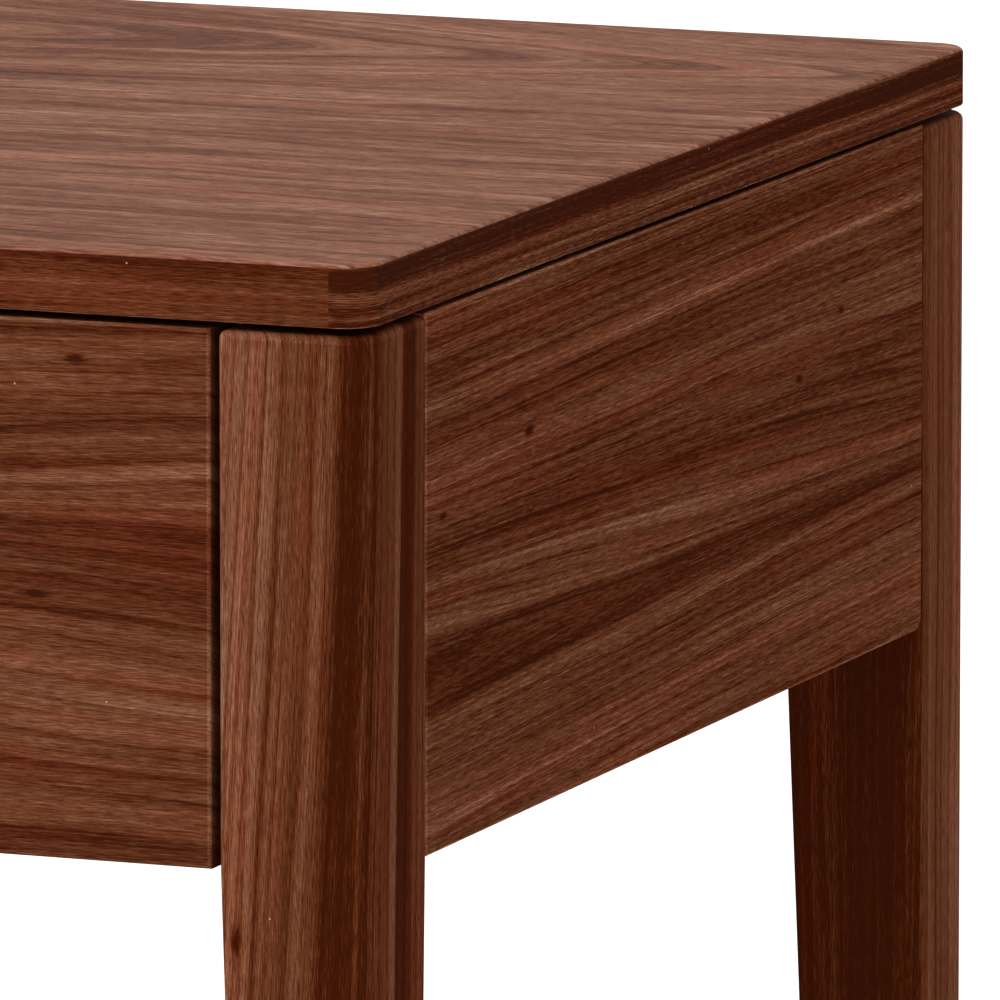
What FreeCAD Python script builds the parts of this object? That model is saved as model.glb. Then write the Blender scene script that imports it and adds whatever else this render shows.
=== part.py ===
import FreeCAD, Part
import os

# Side table with one inset drawer on ball-bearing slides, in millimetres.
# Origin on the floor in the middle of the footprint, +X to the right of someone who faces
# the drawer, +Y towards the back, +Z up.

# --- Driving dimensions: the table ---
OVERALL_WIDTH = 550.0
OVERALL_DEPTH = 500.0
OVERALL_HEIGHT = 580.0
CORNER_RADIUS = 11.5            # upright outer corners, the same on the top and on the legs

TOP_THICKNESS = 18.0
TOP_UPPER_ROUND = 1.8
TOP_LOWER_ROUND = 0.7
PANEL_GAP = 1.4                 # shadow line between the top and the apron panels
LEG_GAP = 2.2                   # shadow line between the top and the legs

LEG_SIZE = 45.0
LEG_FOOT_SIZE = 33.0            # the two inner faces taper from the apron down to this
LEG_ARRIS = 1.2
LEG_TOP_ROUND = 2.4
LEG_FOOT_CHAMFER = 1.0

APRON_HEIGHT = 156.5
APRON_THICKNESS = 20.0
APRON_ARRIS = 0.8
APRON_REAR_CORNER = 4.5         # lower rear corner of each side panel, seen from the side

RAIL_HEIGHT = 26.0              # rails and cleats that carry the top
RAIL_SETBACK = 2.5              # between the drawer front and the front rail
CLEAT_WIDTH = 22.0
PACKER_HEIGHT = 70.0

# --- Driving dimensions: the drawer ---
FRONT_THICKNESS = 20.0
FRONT_SIDE_GAP = 2.7
FRONT_TOP_GAP = 2.0
FRONT_LIFT = 1.0                # lower edge of the drawer front above the apron's lower edge
FRONT_ARRIS = 1.0
FRONT_GRIP_BEVEL = 8.0          # bevel behind the lower edge, where the fingers pull
FINGER_LIP = 21.0               # drawer front below the drawer box
BOX_WALL = 12.0
BOX_TOP_CLEARANCE = 5.0
BOX_BOTTOM_THICKNESS = 6.0
BOX_BOTTOM_RISE = 8.0
BOX_GROOVE_DEPTH = 6.0
DOVETAIL_PITCH = 26.0
DOVETAIL_PIN_SHARE = 0.42       # share of the pitch that a pin takes at the box's inner face
DOVETAIL_SLOPE = 1.0 / 6.0

# --- Driving dimensions: the slides ---
SLIDE_THICKNESS = 12.7
SLIDE_SHEET = 1.2
SLIDE_RISE = 45.0               # slide centre line above the drawer box's lower edge
SLIDE_FRONT_SETBACK = 2.0       # behind the drawer front
SLIDE_REAR_ROOM = 58.0          # between the slide and the back panel
SLIDE_END_STOP = 10.0           # travel that the end stop takes from the slide's length
OUTER_HALF_HEIGHT = 22.7
OUTER_DEPTH = 11.2
MIDDLE_HALF_HEIGHT = 17.5
MIDDLE_WEB_OFFSET = 4.2         # from the cabinet side
MIDDLE_DEPTH = 11.2
INNER_HALF_HEIGHT = 12.3
INNER_DEPTH = 6.6
BALL_DIAMETER = 3.5
BALL_OFFSET = 8.2               # ball centres, from the cabinet side
BALL_COUNT = 8
CAGE_STRIP_WIDTH = 5.0
CAGE_STRIP_THICKNESS = 0.8
CAGE_POCKET_CLEARANCE = 0.25
BUFFER_LENGTH = 6.0
BUFFER_CLEARANCE = 2.0
BUFFER_HEIGHT = 14.0

# --- Driving dimensions: joinery and fasteners ---
TENON_LENGTH = 40.0
TENON_WIDTH = 22.0
TENON_THICKNESS = 8.0
TENON_MARGIN = 30.0             # first and last tenon centre from the apron's edges
TENONS_PER_JOINT = 3
DOWEL_DIAMETER = 6.0
DOWEL_LENGTH = 30.0
DOWEL_SPREAD = 13.0
FIT_CLEARANCE = 0.1             # glue line, and pilot hole around a screw

SCREW_DIAMETER = 4.0
SCREW_HEAD_DIAMETER = 8.0
SCREW_HEAD_HEIGHT = 2.2
SLIDE_SCREW_HEAD_HEIGHT = 1.8
SCREW_HEAD_ROUND_SHARE = 0.6    # share of the head's height that its rim is rounded by
SCREW_TIP_SHARE = 0.25          # blunt tip's radius as a share of the shank's
RECESS_LENGTH = 4.4
RECESS_WIDTH = 0.9
RECESS_DEPTH = 1.1
TOP_SCREW_BITE = 12.0
PANEL_SCREW_BITE = 12.0
FRONT_SCREW_BITE = 13.0
PACKER_SLIDE_SCREW_BITE = 15.0
BOX_SLIDE_SCREW_BITE = 9.0
SCREW_END_MARGIN = 35.0
RAIL_SCREW_SPREAD = 0.7         # outer rail screws, as a share of the way from the middle to the legs
CLEAT_SCREW_SPREAD = 0.6        # cleat screws, likewise
FRONT_SCREW_SPREAD = 0.75       # drawer front screws, as a share of half the box's inner width
FRONT_SCREW_HEIGHTS = (0.35, 0.8)    # and as shares of the box's height
PACKER_SCREW_MARGIN = 6.0

GLIDE_DIAMETER = 22.0
GLIDE_THICKNESS = 3.0
GLIDE_CHAMFER = 0.6
NAIL_DIAMETER = 2.0
NAIL_HEAD_DIAMETER = 6.0
NAIL_HEAD_HEIGHT = 1.0
NAIL_LENGTH = 16.0
NAIL_RECESS = 1.0

# --- Places worked out from the driving dimensions ---
half_width = OVERALL_WIDTH / 2
half_depth = OVERALL_DEPTH / 2
top_underside = OVERALL_HEIGHT - TOP_THICKNESS
leg_top = top_underside - LEG_GAP
apron_top = top_underside - PANEL_GAP
apron_bottom = apron_top - APRON_HEIGHT
rail_bottom = top_underside - RAIL_HEIGHT
inner_x = half_width - LEG_SIZE
inner_y = half_depth - LEG_SIZE
apron_inner_x = half_width - APRON_THICKNESS
apron_inner_y = half_depth - APRON_THICKNESS
rail_front_y = -half_depth + FRONT_THICKNESS + RAIL_SETBACK

front_half_width = inner_x - FRONT_SIDE_GAP
front_bottom = apron_bottom + FRONT_LIFT
front_top = top_underside - FRONT_TOP_GAP
front_back_y = -half_depth + FRONT_THICKNESS

slide_front_y = front_back_y + SLIDE_FRONT_SETBACK
slide_rear_y = apron_inner_y - SLIDE_REAR_ROOM
slide_length = slide_rear_y - slide_front_y
slide_travel = slide_length - SLIDE_END_STOP
member_rear_y = slide_rear_y - BUFFER_LENGTH - BUFFER_CLEARANCE
member_length = member_rear_y - slide_front_y
cage_length = slide_length - slide_travel / 2 - SLIDE_END_STOP

box_half_width = inner_x - SLIDE_THICKNESS
box_inner_half_width = box_half_width - BOX_WALL
box_front_y = front_back_y
box_rear_y = slide_rear_y
box_bottom = front_bottom + FINGER_LIP
box_top = rail_bottom - BOX_TOP_CLEARANCE
box_height = box_top - box_bottom
bottom_panel_z = box_bottom + BOX_BOTTOM_RISE
slide_z = box_bottom + SLIDE_RISE
packer_bottom = slide_z - PACKER_HEIGHT / 2

SIDES = {"left": -1, "right": 1}
ENDS = {"front": -1, "rear": 1}
X_AXIS = FreeCAD.Vector(1, 0, 0)
Y_AXIS = FreeCAD.Vector(0, 1, 0)
Z_AXIS = FreeCAD.Vector(0, 0, 1)
ORIGIN = FreeCAD.Vector(0, 0, 0)


# --- Shape helpers ---
def block(low, high):
    """Box between two opposite corners given in any order."""
    start = FreeCAD.Vector(*[min(a, b) for a, b in zip(low, high)])
    size = [abs(b - a) for a, b in zip(low, high)]
    return Part.makeBox(size[0], size[1], size[2], start)


def rod(start, direction, radius, length):
    """Cylinder from a start point along a direction."""
    return Part.makeCylinder(radius, length, FreeCAD.Vector(*start), direction)


def mirror_x(shape):
    """Copy on the other side of the table's middle plane, left to right."""
    return shape.mirror(ORIGIN, X_AXIS)


def mirror_y(shape):
    """Copy on the other side of the table's middle plane, front to back."""
    return shape.mirror(ORIGIN, Y_AXIS)


def cut_all(shape, tools):
    """Shape less every tool."""
    return shape.cut(tools) if tools else shape


def prism(points, along):
    """Closed polygon through the points, extruded by a vector."""
    corners = [FreeCAD.Vector(*point) for point in points]
    wire = Part.makePolygon(corners + [corners[0]])
    return Part.Face(wire).extrude(along)


def edges_where(shape, test):
    """Edges whose bounding box passes a test."""
    return [edge for edge in shape.Edges if test(edge.BoundBox)]


def flat_at(value, low, high, tolerance=0.01):
    """Whether a bounding box's range lies at one value."""
    return abs(low - value) < tolerance and abs(high - value) < tolerance


def soften_face(shape, axis, value, radius):
    """Round every edge that lies in the plane axis = value, axis being X, Y or Z."""
    def in_plane(box):
        return flat_at(value, getattr(box, axis + "Min"), getattr(box, axis + "Max"))
    return shape.makeFillet(radius, edges_where(shape, in_plane))


def square_section(inner_size, z):
    """Leg section in the front right corner, outer corner rounded, others eased."""
    x_out, y_out = half_width, -half_depth
    x_in, y_in = x_out - inner_size, y_out + inner_size
    corners = [(x_in, y_out, LEG_ARRIS, 1, 1), (x_out, y_out, CORNER_RADIUS, -1, 1),
               (x_out, y_in, LEG_ARRIS, -1, -1), (x_in, y_in, LEG_ARRIS, 1, -1)]
    starts, middles, ends = [], [], []
    for index, (x, y, radius, to_x, to_y) in enumerate(corners):
        centre = FreeCAD.Vector(x + to_x * radius, y + to_y * radius, z)
        diagonal = FreeCAD.Vector(-to_x, -to_y, 0).normalize()
        on_x = FreeCAD.Vector(x, centre.y, z)
        on_y = FreeCAD.Vector(centre.x, y, z)
        first, last = (on_x, on_y) if index % 2 == 0 else (on_y, on_x)
        starts.append(first)
        middles.append(centre + diagonal * radius)
        ends.append(last)
    edges = []
    for index in range(len(corners)):
        following = (index + 1) % len(corners)
        edges.append(Part.Arc(starts[index], middles[index], ends[index]).toShape())
        edges.append(Part.LineSegment(ends[index], starts[following]).toShape())
    return Part.Wire(edges)


# --- Fasteners and joinery, and the holes for them ---
def pan_screw(seat, direction, length, head_height=SCREW_HEAD_HEIGHT):
    """Pan-head screw whose head rests on seat and whose shank runs along direction."""
    seat = FreeCAD.Vector(*seat)
    head_end = seat - direction * head_height
    radius = SCREW_DIAMETER / 2
    straight = length - radius
    shank = Part.makeCylinder(radius, straight, seat, direction)
    tip = Part.makeCone(radius, radius * SCREW_TIP_SHARE, radius, seat + direction * straight, direction)
    head = Part.makeCylinder(SCREW_HEAD_DIAMETER / 2, head_height, head_end, direction)
    rim = [edge for edge in head.Edges if edge.Closed and edge.CenterOfMass.isEqual(head_end, 0.01)]
    head = head.makeFillet(head_height * SCREW_HEAD_ROUND_SHARE, rim)
    return head.fuse([shank, tip]).cut(cross_recess(head_end, direction)).removeSplitter()


def cross_recess(head_end, direction):
    """Cross-shaped driver recess sunk into a screw head."""
    bars = []
    for turn in (0, 90):
        bar = Part.makeBox(RECESS_LENGTH, RECESS_WIDTH, RECESS_DEPTH,
                           FreeCAD.Vector(-RECESS_LENGTH / 2, -RECESS_WIDTH / 2, 0))
        bar.rotate(ORIGIN, Z_AXIS, turn)
        bars.append(bar)
    cross = bars[0].fuse(bars[1])
    cross.Placement = FreeCAD.Placement(head_end, FreeCAD.Rotation(Z_AXIS, direction))
    return cross


def screw_hole(seat, direction, length):
    """Pilot hole of a screw, a little wider and deeper than its shank."""
    start = FreeCAD.Vector(*seat) - direction * FIT_CLEARANCE
    return Part.makeCylinder(SCREW_DIAMETER / 2 + FIT_CLEARANCE, length + 3 * FIT_CLEARANCE,
                             start, direction)


def loose_tenon(centre, lengthwise, grow=0.0):
    """Flat tenon with round edges; lengthwise is X or Y, its width stands upright."""
    length = TENON_LENGTH + 2 * grow
    radius = TENON_THICKNESS / 2 + grow
    straight = TENON_WIDTH - TENON_THICKNESS
    middle = FreeCAD.Vector(*centre)
    across = lengthwise.cross(Z_AXIS)
    low = middle - lengthwise * (length / 2) - across * radius - Z_AXIS * (straight / 2)
    high = middle + lengthwise * (length / 2) + across * radius + Z_AXIS * (straight / 2)
    parts = []
    for side in (-1, 1):
        start = middle - lengthwise * (length / 2) + Z_AXIS * (side * straight / 2)
        parts.append(Part.makeCylinder(radius, length, start, lengthwise))
    return block(low, high).fuse(parts).removeSplitter()


def tenon_places():
    """Centre and direction of every loose tenon between an apron panel and a leg."""
    span = APRON_HEIGHT - 2 * TENON_MARGIN
    places = []
    for step in range(TENONS_PER_JOINT):
        z = apron_bottom + TENON_MARGIN + span * step / (TENONS_PER_JOINT - 1)
        for side in (-1, 1):
            for end in (-1, 1):
                places.append(((side * (half_width - APRON_THICKNESS / 2), end * inner_y, z), Y_AXIS))
            places.append(((side * inner_x, half_depth - APRON_THICKNESS / 2, z), X_AXIS))
    return places


def dowel_places():
    """Centre of every dowel between a rail and a leg; all run along X."""
    front_y = (rail_front_y - inner_y) / 2
    rear_y = (inner_y + apron_inner_y) / 2
    places = []
    for y in (front_y, rear_y):
        for side in (-1, 1):
            for step in (-1, 1):
                z = rail_bottom + RAIL_HEIGHT / 2 + step * DOWEL_SPREAD / 2
                places.append((side * inner_x, y, z))
    return places


def dowel(place, grow=0.0):
    """Dowel along X centred on a place."""
    x, y, z = place
    length = DOWEL_LENGTH + 2 * grow
    return rod((x - length / 2, y, z), X_AXIS, DOWEL_DIAMETER / 2 + grow, length)


def top_screw_seats():
    """Undersides of rails and cleats where screws go up into the top."""
    front_y = (rail_front_y - inner_y) / 2
    rear_y = (inner_y + apron_inner_y) / 2
    rail_runs = [step * inner_x * RAIL_SCREW_SPREAD for step in (-1, 0, 1)]
    seats = [(x, y, rail_bottom) for y in (front_y, rear_y) for x in rail_runs]
    cleat_x = apron_inner_x - CLEAT_WIDTH / 2
    cleat_y = inner_y * CLEAT_SCREW_SPREAD
    seats += [(side * cleat_x, end * cleat_y, rail_bottom) for side in (-1, 1) for end in (-1, 1)]
    return seats


def frame_screws(side):
    """Seat, direction and length of the screws that hold cleat and packer to a side panel."""
    into_panel = X_AXIS * side
    runs = [inner_y - SCREW_END_MARGIN, 0.0, SCREW_END_MARGIN - inner_y]
    cleat_x = side * (apron_inner_x - CLEAT_WIDTH)
    cleat_z = rail_bottom + RAIL_HEIGHT / 2
    screws = [((cleat_x, y, cleat_z), into_panel, CLEAT_WIDTH + PANEL_SCREW_BITE) for y in runs]
    packer_x = side * inner_x
    length = apron_inner_x - inner_x + PANEL_SCREW_BITE
    for index, y in enumerate(runs):
        edge = 1 if index % 2 == 0 else -1
        z = slide_z + edge * (PACKER_HEIGHT / 2 - PACKER_SCREW_MARGIN)
        screws.append(((packer_x, y, z), into_panel, length))
    return screws


def slide_screw_runs():
    """Positions along Y of the screws through a slide member's web."""
    first = slide_front_y + SCREW_END_MARGIN
    last = member_rear_y - SCREW_END_MARGIN
    return [first, (first + last) / 2, last]


def cabinet_slide_screws(side):
    """Seat, direction and length of the screws from the outer member into the packer."""
    x = side * (inner_x - SLIDE_SHEET)
    return [((x, y, slide_z), X_AXIS * side, PACKER_SLIDE_SCREW_BITE) for y in slide_screw_runs()]


def drawer_slide_screws(side):
    """Seat, direction and length of the screws from the inner member into the drawer side."""
    x = side * (box_half_width + SLIDE_SHEET)
    length = SLIDE_SHEET + BOX_SLIDE_SCREW_BITE
    return [((x, y, slide_z), X_AXIS * -side, length) for y in slide_screw_runs()]


def front_screws():
    """Seat, direction and length of the screws from inside the box into the drawer front."""
    length = BOX_WALL + FRONT_SCREW_BITE
    seat_y = box_front_y + BOX_WALL
    heights = [box_bottom + box_height * share for share in FRONT_SCREW_HEIGHTS]
    runs = [side * box_inner_half_width * FRONT_SCREW_SPREAD for side in (-1, 1)]
    return [((x, seat_y, z), Y_AXIS * -1, length) for x in runs for z in heights]


def glide_centres():
    """Centre of each foot on the floor, by the name of its leg."""
    x = half_width - LEG_FOOT_SIZE / 2
    y = half_depth - LEG_FOOT_SIZE / 2
    return {end + "_" + side: (SIDES[side] * x, ENDS[end] * y, 0.0) for end in ENDS for side in SIDES}


def glide_nail(centre, grow=0.0):
    """Nail that holds a glide, head sunk into the glide's underside."""
    x, y, z = centre
    head = rod((x, y, z + NAIL_RECESS), Z_AXIS, NAIL_HEAD_DIAMETER / 2 + grow, NAIL_HEAD_HEIGHT + grow)
    shank = rod((x, y, z + NAIL_RECESS), Z_AXIS, NAIL_DIAMETER / 2 + grow, NAIL_LENGTH + grow)
    return head.fuse(shank).removeSplitter()


# --- Table pieces ---
def table_top():
    """Slab with rounded upright corners, a soft upper edge and a finely eased lower edge."""
    slab = block((-half_width, -half_depth, top_underside), (half_width, half_depth, OVERALL_HEIGHT))
    slab = slab.makeFillet(CORNER_RADIUS, edges_where(slab, lambda box: box.ZLength > TOP_THICKNESS / 2))
    slab = soften_face(slab, "Z", OVERALL_HEIGHT, TOP_UPPER_ROUND)
    slab = soften_face(slab, "Z", top_underside, TOP_LOWER_ROUND)
    holes = [screw_hole(seat, Z_AXIS, RAIL_HEIGHT + TOP_SCREW_BITE) for seat in top_screw_seats()]
    return cut_all(slab, holes)


def leg_blank():
    """Front right leg: square beside the apron, both inner faces tapering below it."""
    shoulder = square_section(LEG_SIZE, apron_bottom)
    upper = Part.Face(shoulder).extrude(FreeCAD.Vector(0, 0, leg_top - apron_bottom))
    upper = soften_face(upper, "Z", leg_top, LEG_TOP_ROUND)
    foot = square_section(LEG_FOOT_SIZE, GLIDE_THICKNESS)
    lower = Part.makeLoft([foot, shoulder], True, True)
    rim = edges_where(lower, lambda box: flat_at(GLIDE_THICKNESS, box.ZMin, box.ZMax))
    lower = lower.makeChamfer(LEG_FOOT_CHAMFER, rim)
    return upper.fuse(lower).removeSplitter()


def leg_holes():
    """Mortises, dowel holes and nail holes of all four legs."""
    holes = [loose_tenon(centre, run, FIT_CLEARANCE) for centre, run in tenon_places()]
    holes += [dowel(place, FIT_CLEARANCE) for place in dowel_places()]
    holes += [glide_nail(centre, FIT_CLEARANCE) for centre in glide_centres().values()]
    return holes


def legs():
    """The four legs by node name."""
    front_right = leg_blank()
    blanks = {"leg_front_right": front_right, "leg_front_left": mirror_x(front_right),
              "leg_rear_right": mirror_y(front_right),
              "leg_rear_left": mirror_x(mirror_y(front_right))}
    return {name: cut_all(blank, near(blank, leg_holes())) for name, blank in blanks.items()}


def near(shape, tools):
    """Tools whose boxes meet the shape's box."""
    return [tool for tool in tools if tool.BoundBox.intersect(shape.BoundBox)]


def side_panel(side):
    """Side apron panel between the legs of one side, flush with them outside."""
    outer, inner = side * half_width, side * apron_inner_x
    panel = block((inner, -inner_y, apron_bottom), (outer, inner_y, apron_top))
    panel = panel.makeFillet(APRON_REAR_CORNER, edges_where(panel, lambda box: (
        flat_at(inner_y, box.YMin, box.YMax) and flat_at(apron_bottom, box.ZMin, box.ZMax))))
    panel = soften_face(panel, "X", outer, APRON_ARRIS)
    holes = [loose_tenon(centre, run, FIT_CLEARANCE) for centre, run in tenon_places()]
    holes += [screw_hole(*screw) for screw in frame_screws(side)]
    return cut_all(panel, near(panel, holes))


def back_panel():
    """Rear apron panel between the rear legs, flush with them outside."""
    panel = block((-inner_x, apron_inner_y, apron_bottom), (inner_x, half_depth, apron_top))
    panel = soften_face(panel, "Y", half_depth, APRON_ARRIS)
    holes = [loose_tenon(centre, run, FIT_CLEARANCE) for centre, run in tenon_places()]
    return cut_all(panel, near(panel, holes))


def top_rail(y_start, y_end):
    """Rail between two legs that carries the top; screws go up through it."""
    rail = block((-inner_x, y_start, rail_bottom), (inner_x, y_end, top_underside))
    holes = [screw_hole(seat, Z_AXIS, RAIL_HEIGHT + TOP_SCREW_BITE) for seat in top_screw_seats()]
    holes += [dowel(place, FIT_CLEARANCE) for place in dowel_places()]
    return cut_all(rail, near(rail, holes))


def top_cleat(side):
    """Strip inside a side panel that carries the top's edge."""
    outer = side * apron_inner_x
    cleat = block((outer - side * CLEAT_WIDTH, -inner_y, rail_bottom), (outer, inner_y, top_underside))
    holes = [screw_hole(seat, Z_AXIS, RAIL_HEIGHT + TOP_SCREW_BITE) for seat in top_screw_seats()]
    holes += [screw_hole(*screw) for screw in frame_screws(side)]
    return cut_all(cleat, near(cleat, holes))


def slide_packer(side):
    """Strip that brings the slide's seat out to the inner faces of the legs."""
    packer = block((side * inner_x, -inner_y, packer_bottom),
                   (side * apron_inner_x, inner_y, packer_bottom + PACKER_HEIGHT))
    holes = [screw_hole(*screw) for screw in frame_screws(side) + cabinet_slide_screws(side)]
    return cut_all(packer, near(packer, holes))


def foot_glide(centre):
    """Round glide under one leg, drilled and sunk for its nail."""
    x, y, z = centre
    disc = rod(centre, Z_AXIS, GLIDE_DIAMETER / 2, GLIDE_THICKNESS)
    disc = disc.makeChamfer(GLIDE_CHAMFER, edges_where(disc, lambda box: flat_at(0.0, box.ZMin, box.ZMax)))
    sink = rod(centre, Z_AXIS, NAIL_HEAD_DIAMETER / 2 + FIT_CLEARANCE, NAIL_RECESS)
    return disc.cut([glide_nail(centre, FIT_CLEARANCE), sink])


# --- Drawer pieces ---
def drawer_front():
    """Inset front, flush with the legs, bevelled behind its lower edge as a finger pull."""
    bevel = FRONT_GRIP_BEVEL
    y_out, y_in = -half_depth, front_back_y
    outline = [(-front_half_width, y_out, front_bottom), (-front_half_width, y_in - bevel, front_bottom),
               (-front_half_width, y_in, front_bottom + bevel), (-front_half_width, y_in, front_top),
               (-front_half_width, y_out, front_top)]
    front = prism(outline, X_AXIS * (2 * front_half_width))
    front = soften_face(front, "Y", y_out, FRONT_ARRIS)
    return cut_all(front, [screw_hole(*screw) for screw in front_screws()])


def tail_blocks(y_inner, y_outer):
    """Dovetails of both drawer sides at one end of the box, flaring towards y_outer."""
    count = max(2, round(box_height / DOVETAIL_PITCH))
    pitch = box_height / count
    narrow = pitch * (1 - DOVETAIL_PIN_SHARE) / 2
    wide = narrow + BOX_WALL * DOVETAIL_SLOPE
    tails = []
    for index in range(count):
        z = box_bottom + pitch * (index + 0.5)
        for side in (-1, 1):
            x = side * box_inner_half_width
            outline = [(x, y_inner, z - narrow), (x, y_outer, z - wide),
                       (x, y_outer, z + wide), (x, y_inner, z + narrow)]
            tails.append(prism(outline, X_AXIS * (side * BOX_WALL)))
    return tails


def box_ends():
    """Inner and outer Y of the box's front and back boards."""
    return {"front": (box_front_y + BOX_WALL, box_front_y), "rear": (box_rear_y - BOX_WALL, box_rear_y)}


def bottom_panel(grow=0.0):
    """Drawer bottom held in grooves of all four boards."""
    x = box_inner_half_width + BOX_GROOVE_DEPTH - FIT_CLEARANCE + grow
    y_low = box_front_y + BOX_WALL - BOX_GROOVE_DEPTH + FIT_CLEARANCE - grow
    y_high = box_rear_y - BOX_WALL + BOX_GROOVE_DEPTH - FIT_CLEARANCE + grow
    z_low, z_high = bottom_panel_z - grow, bottom_panel_z + BOX_BOTTOM_THICKNESS + grow
    return block((-x, y_low, z_low), (x, y_high, z_high))


def box_board(end):
    """Front or back board of the drawer box, cut around the sides' dovetails."""
    y_inner, y_outer = box_ends()[end]
    board = block((-box_half_width, y_inner, box_bottom), (box_half_width, y_outer, box_top))
    board = board.cut(tail_blocks(y_inner, y_outer) + [bottom_panel(FIT_CLEARANCE)])
    holes = [screw_hole(*screw) for screw in front_screws()]
    return cut_all(board, near(board, holes))


def drawer_side(side):
    """Side board of the drawer box with dovetails at both ends."""
    ends = box_ends()
    core = block((side * box_inner_half_width, ends["front"][0], box_bottom),
                 (side * box_half_width, ends["rear"][0], box_top))
    tails = []
    for y_inner, y_outer in ends.values():
        tails += near(core, tail_blocks(y_inner, y_outer))
    board = core.fuse(tails).removeSplitter()
    holes = [bottom_panel(FIT_CLEARANCE)]
    holes += [screw_hole(*screw) for screw in drawer_slide_screws(side)]
    return cut_all(board, near(board, holes))


# --- Slide pieces, for the right side and mirrored for the left ---
def channel(web_x, lip_x, half_height, lip, length):
    """Sheet channel along Y: web at web_x, flanges reaching lip_x, lips turned inwards."""
    inward = 1 if lip_x > web_x else -1
    sheet = SLIDE_SHEET
    web = block((web_x, slide_front_y, slide_z - half_height),
                (web_x + inward * sheet, slide_front_y + length, slide_z + half_height))
    pieces = []
    for side in (-1, 1):
        z_out = slide_z + side * half_height
        pieces.append(block((web_x, slide_front_y, z_out - side * sheet),
                            (lip_x, slide_front_y + length, z_out)))
        if lip > 0:
            pieces.append(block((lip_x, slide_front_y, z_out - side * (sheet + lip)),
                                (lip_x - inward * sheet, slide_front_y + length, z_out)))
    return web.fuse(pieces).removeSplitter()


def web_holes(shape, screws):
    """Shape drilled for screws through its web."""
    return cut_all(shape, [screw_hole(*screw) for screw in screws])


def slide_outer():
    """Cabinet member of the right slide, fixed to the packer."""
    member = channel(inner_x, inner_x - OUTER_DEPTH, OUTER_HALF_HEIGHT, SLIDE_SHEET, slide_length)
    return web_holes(member, cabinet_slide_screws(1))


def slide_middle():
    """Intermediate member of the right slide, which moves half as far as the drawer."""
    web_x = inner_x - MIDDLE_WEB_OFFSET
    return channel(web_x, inner_x - MIDDLE_DEPTH, MIDDLE_HALF_HEIGHT, 0.0, member_length)


def slide_inner():
    """Drawer member of the right slide, fixed to the drawer side."""
    member = channel(box_half_width, box_half_width + INNER_DEPTH, INNER_HALF_HEIGHT, 0.0, member_length)
    return web_holes(member, drawer_slide_screws(1))


def ball_cage(outer_half_height, inner_half_height):
    """Two strips with balls between a pair of slide members, whose track faces are given."""
    offset = (outer_half_height - SLIDE_SHEET + inner_half_height) / 2
    x = inner_x - BALL_OFFSET
    middle_y = (slide_front_y + slide_rear_y) / 2
    start_y = middle_y - cage_length / 2
    solids = []
    for side in (-1, 1):
        z = slide_z + side * offset
        strip = block((x - CAGE_STRIP_WIDTH / 2, start_y, z - CAGE_STRIP_THICKNESS / 2),
                      (x + CAGE_STRIP_WIDTH / 2, start_y + cage_length, z + CAGE_STRIP_THICKNESS / 2))
        centres = [FreeCAD.Vector(x, start_y + cage_length * (index + 0.5) / BALL_COUNT, z)
                   for index in range(BALL_COUNT)]
        pocket = BALL_DIAMETER / 2 + CAGE_POCKET_CLEARANCE
        strip = strip.cut([Part.makeSphere(pocket, centre) for centre in centres])
        solids.append(strip)
        solids += [Part.makeSphere(BALL_DIAMETER / 2, centre) for centre in centres]
    return Part.makeCompound(solids)


def slide_buffer():
    """Rubber buffer at the rear of the outer member."""
    x_start = inner_x - SLIDE_SHEET
    return block((x_start, slide_rear_y - BUFFER_LENGTH, slide_z - BUFFER_HEIGHT / 2),
                 (inner_x - OUTER_DEPTH, slide_rear_y, slide_z + BUFFER_HEIGHT / 2))


# --- Everything by node name ---
def frame_nodes():
    """Pieces of the table's frame."""
    nodes = {"table_top": table_top(), "back_panel": back_panel(),
             "front_top_rail": top_rail(rail_front_y, -inner_y),
             "rear_top_rail": top_rail(inner_y, apron_inner_y)}
    nodes.update(legs())
    for name, side in SIDES.items():
        nodes["side_panel_" + name] = side_panel(side)
        nodes["top_cleat_" + name] = top_cleat(side)
        nodes["slide_packer_" + name] = slide_packer(side)
    for name, centre in glide_centres().items():
        nodes["foot_glide_" + name] = foot_glide(centre)
    return nodes


def drawer_nodes():
    """Pieces of the drawer."""
    nodes = {"drawer_front": drawer_front(), "drawer_bottom": bottom_panel(),
             "drawer_box_front": box_board("front"), "drawer_box_back": box_board("rear")}
    for name, side in SIDES.items():
        nodes["drawer_side_" + name] = drawer_side(side)
    return nodes


def slide_nodes():
    """Pieces of both slides."""
    right = {"slide_outer": slide_outer(), "slide_middle": slide_middle(), "slide_inner": slide_inner(),
             "slide_cage_outer": ball_cage(OUTER_HALF_HEIGHT, MIDDLE_HALF_HEIGHT),
             "slide_cage_inner": ball_cage(MIDDLE_HALF_HEIGHT, INNER_HALF_HEIGHT),
             "slide_buffer": slide_buffer()}
    nodes = {}
    for name, shape in right.items():
        nodes[name + "_right"] = shape
        nodes[name + "_left"] = mirror_x(shape)
    return nodes


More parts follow.
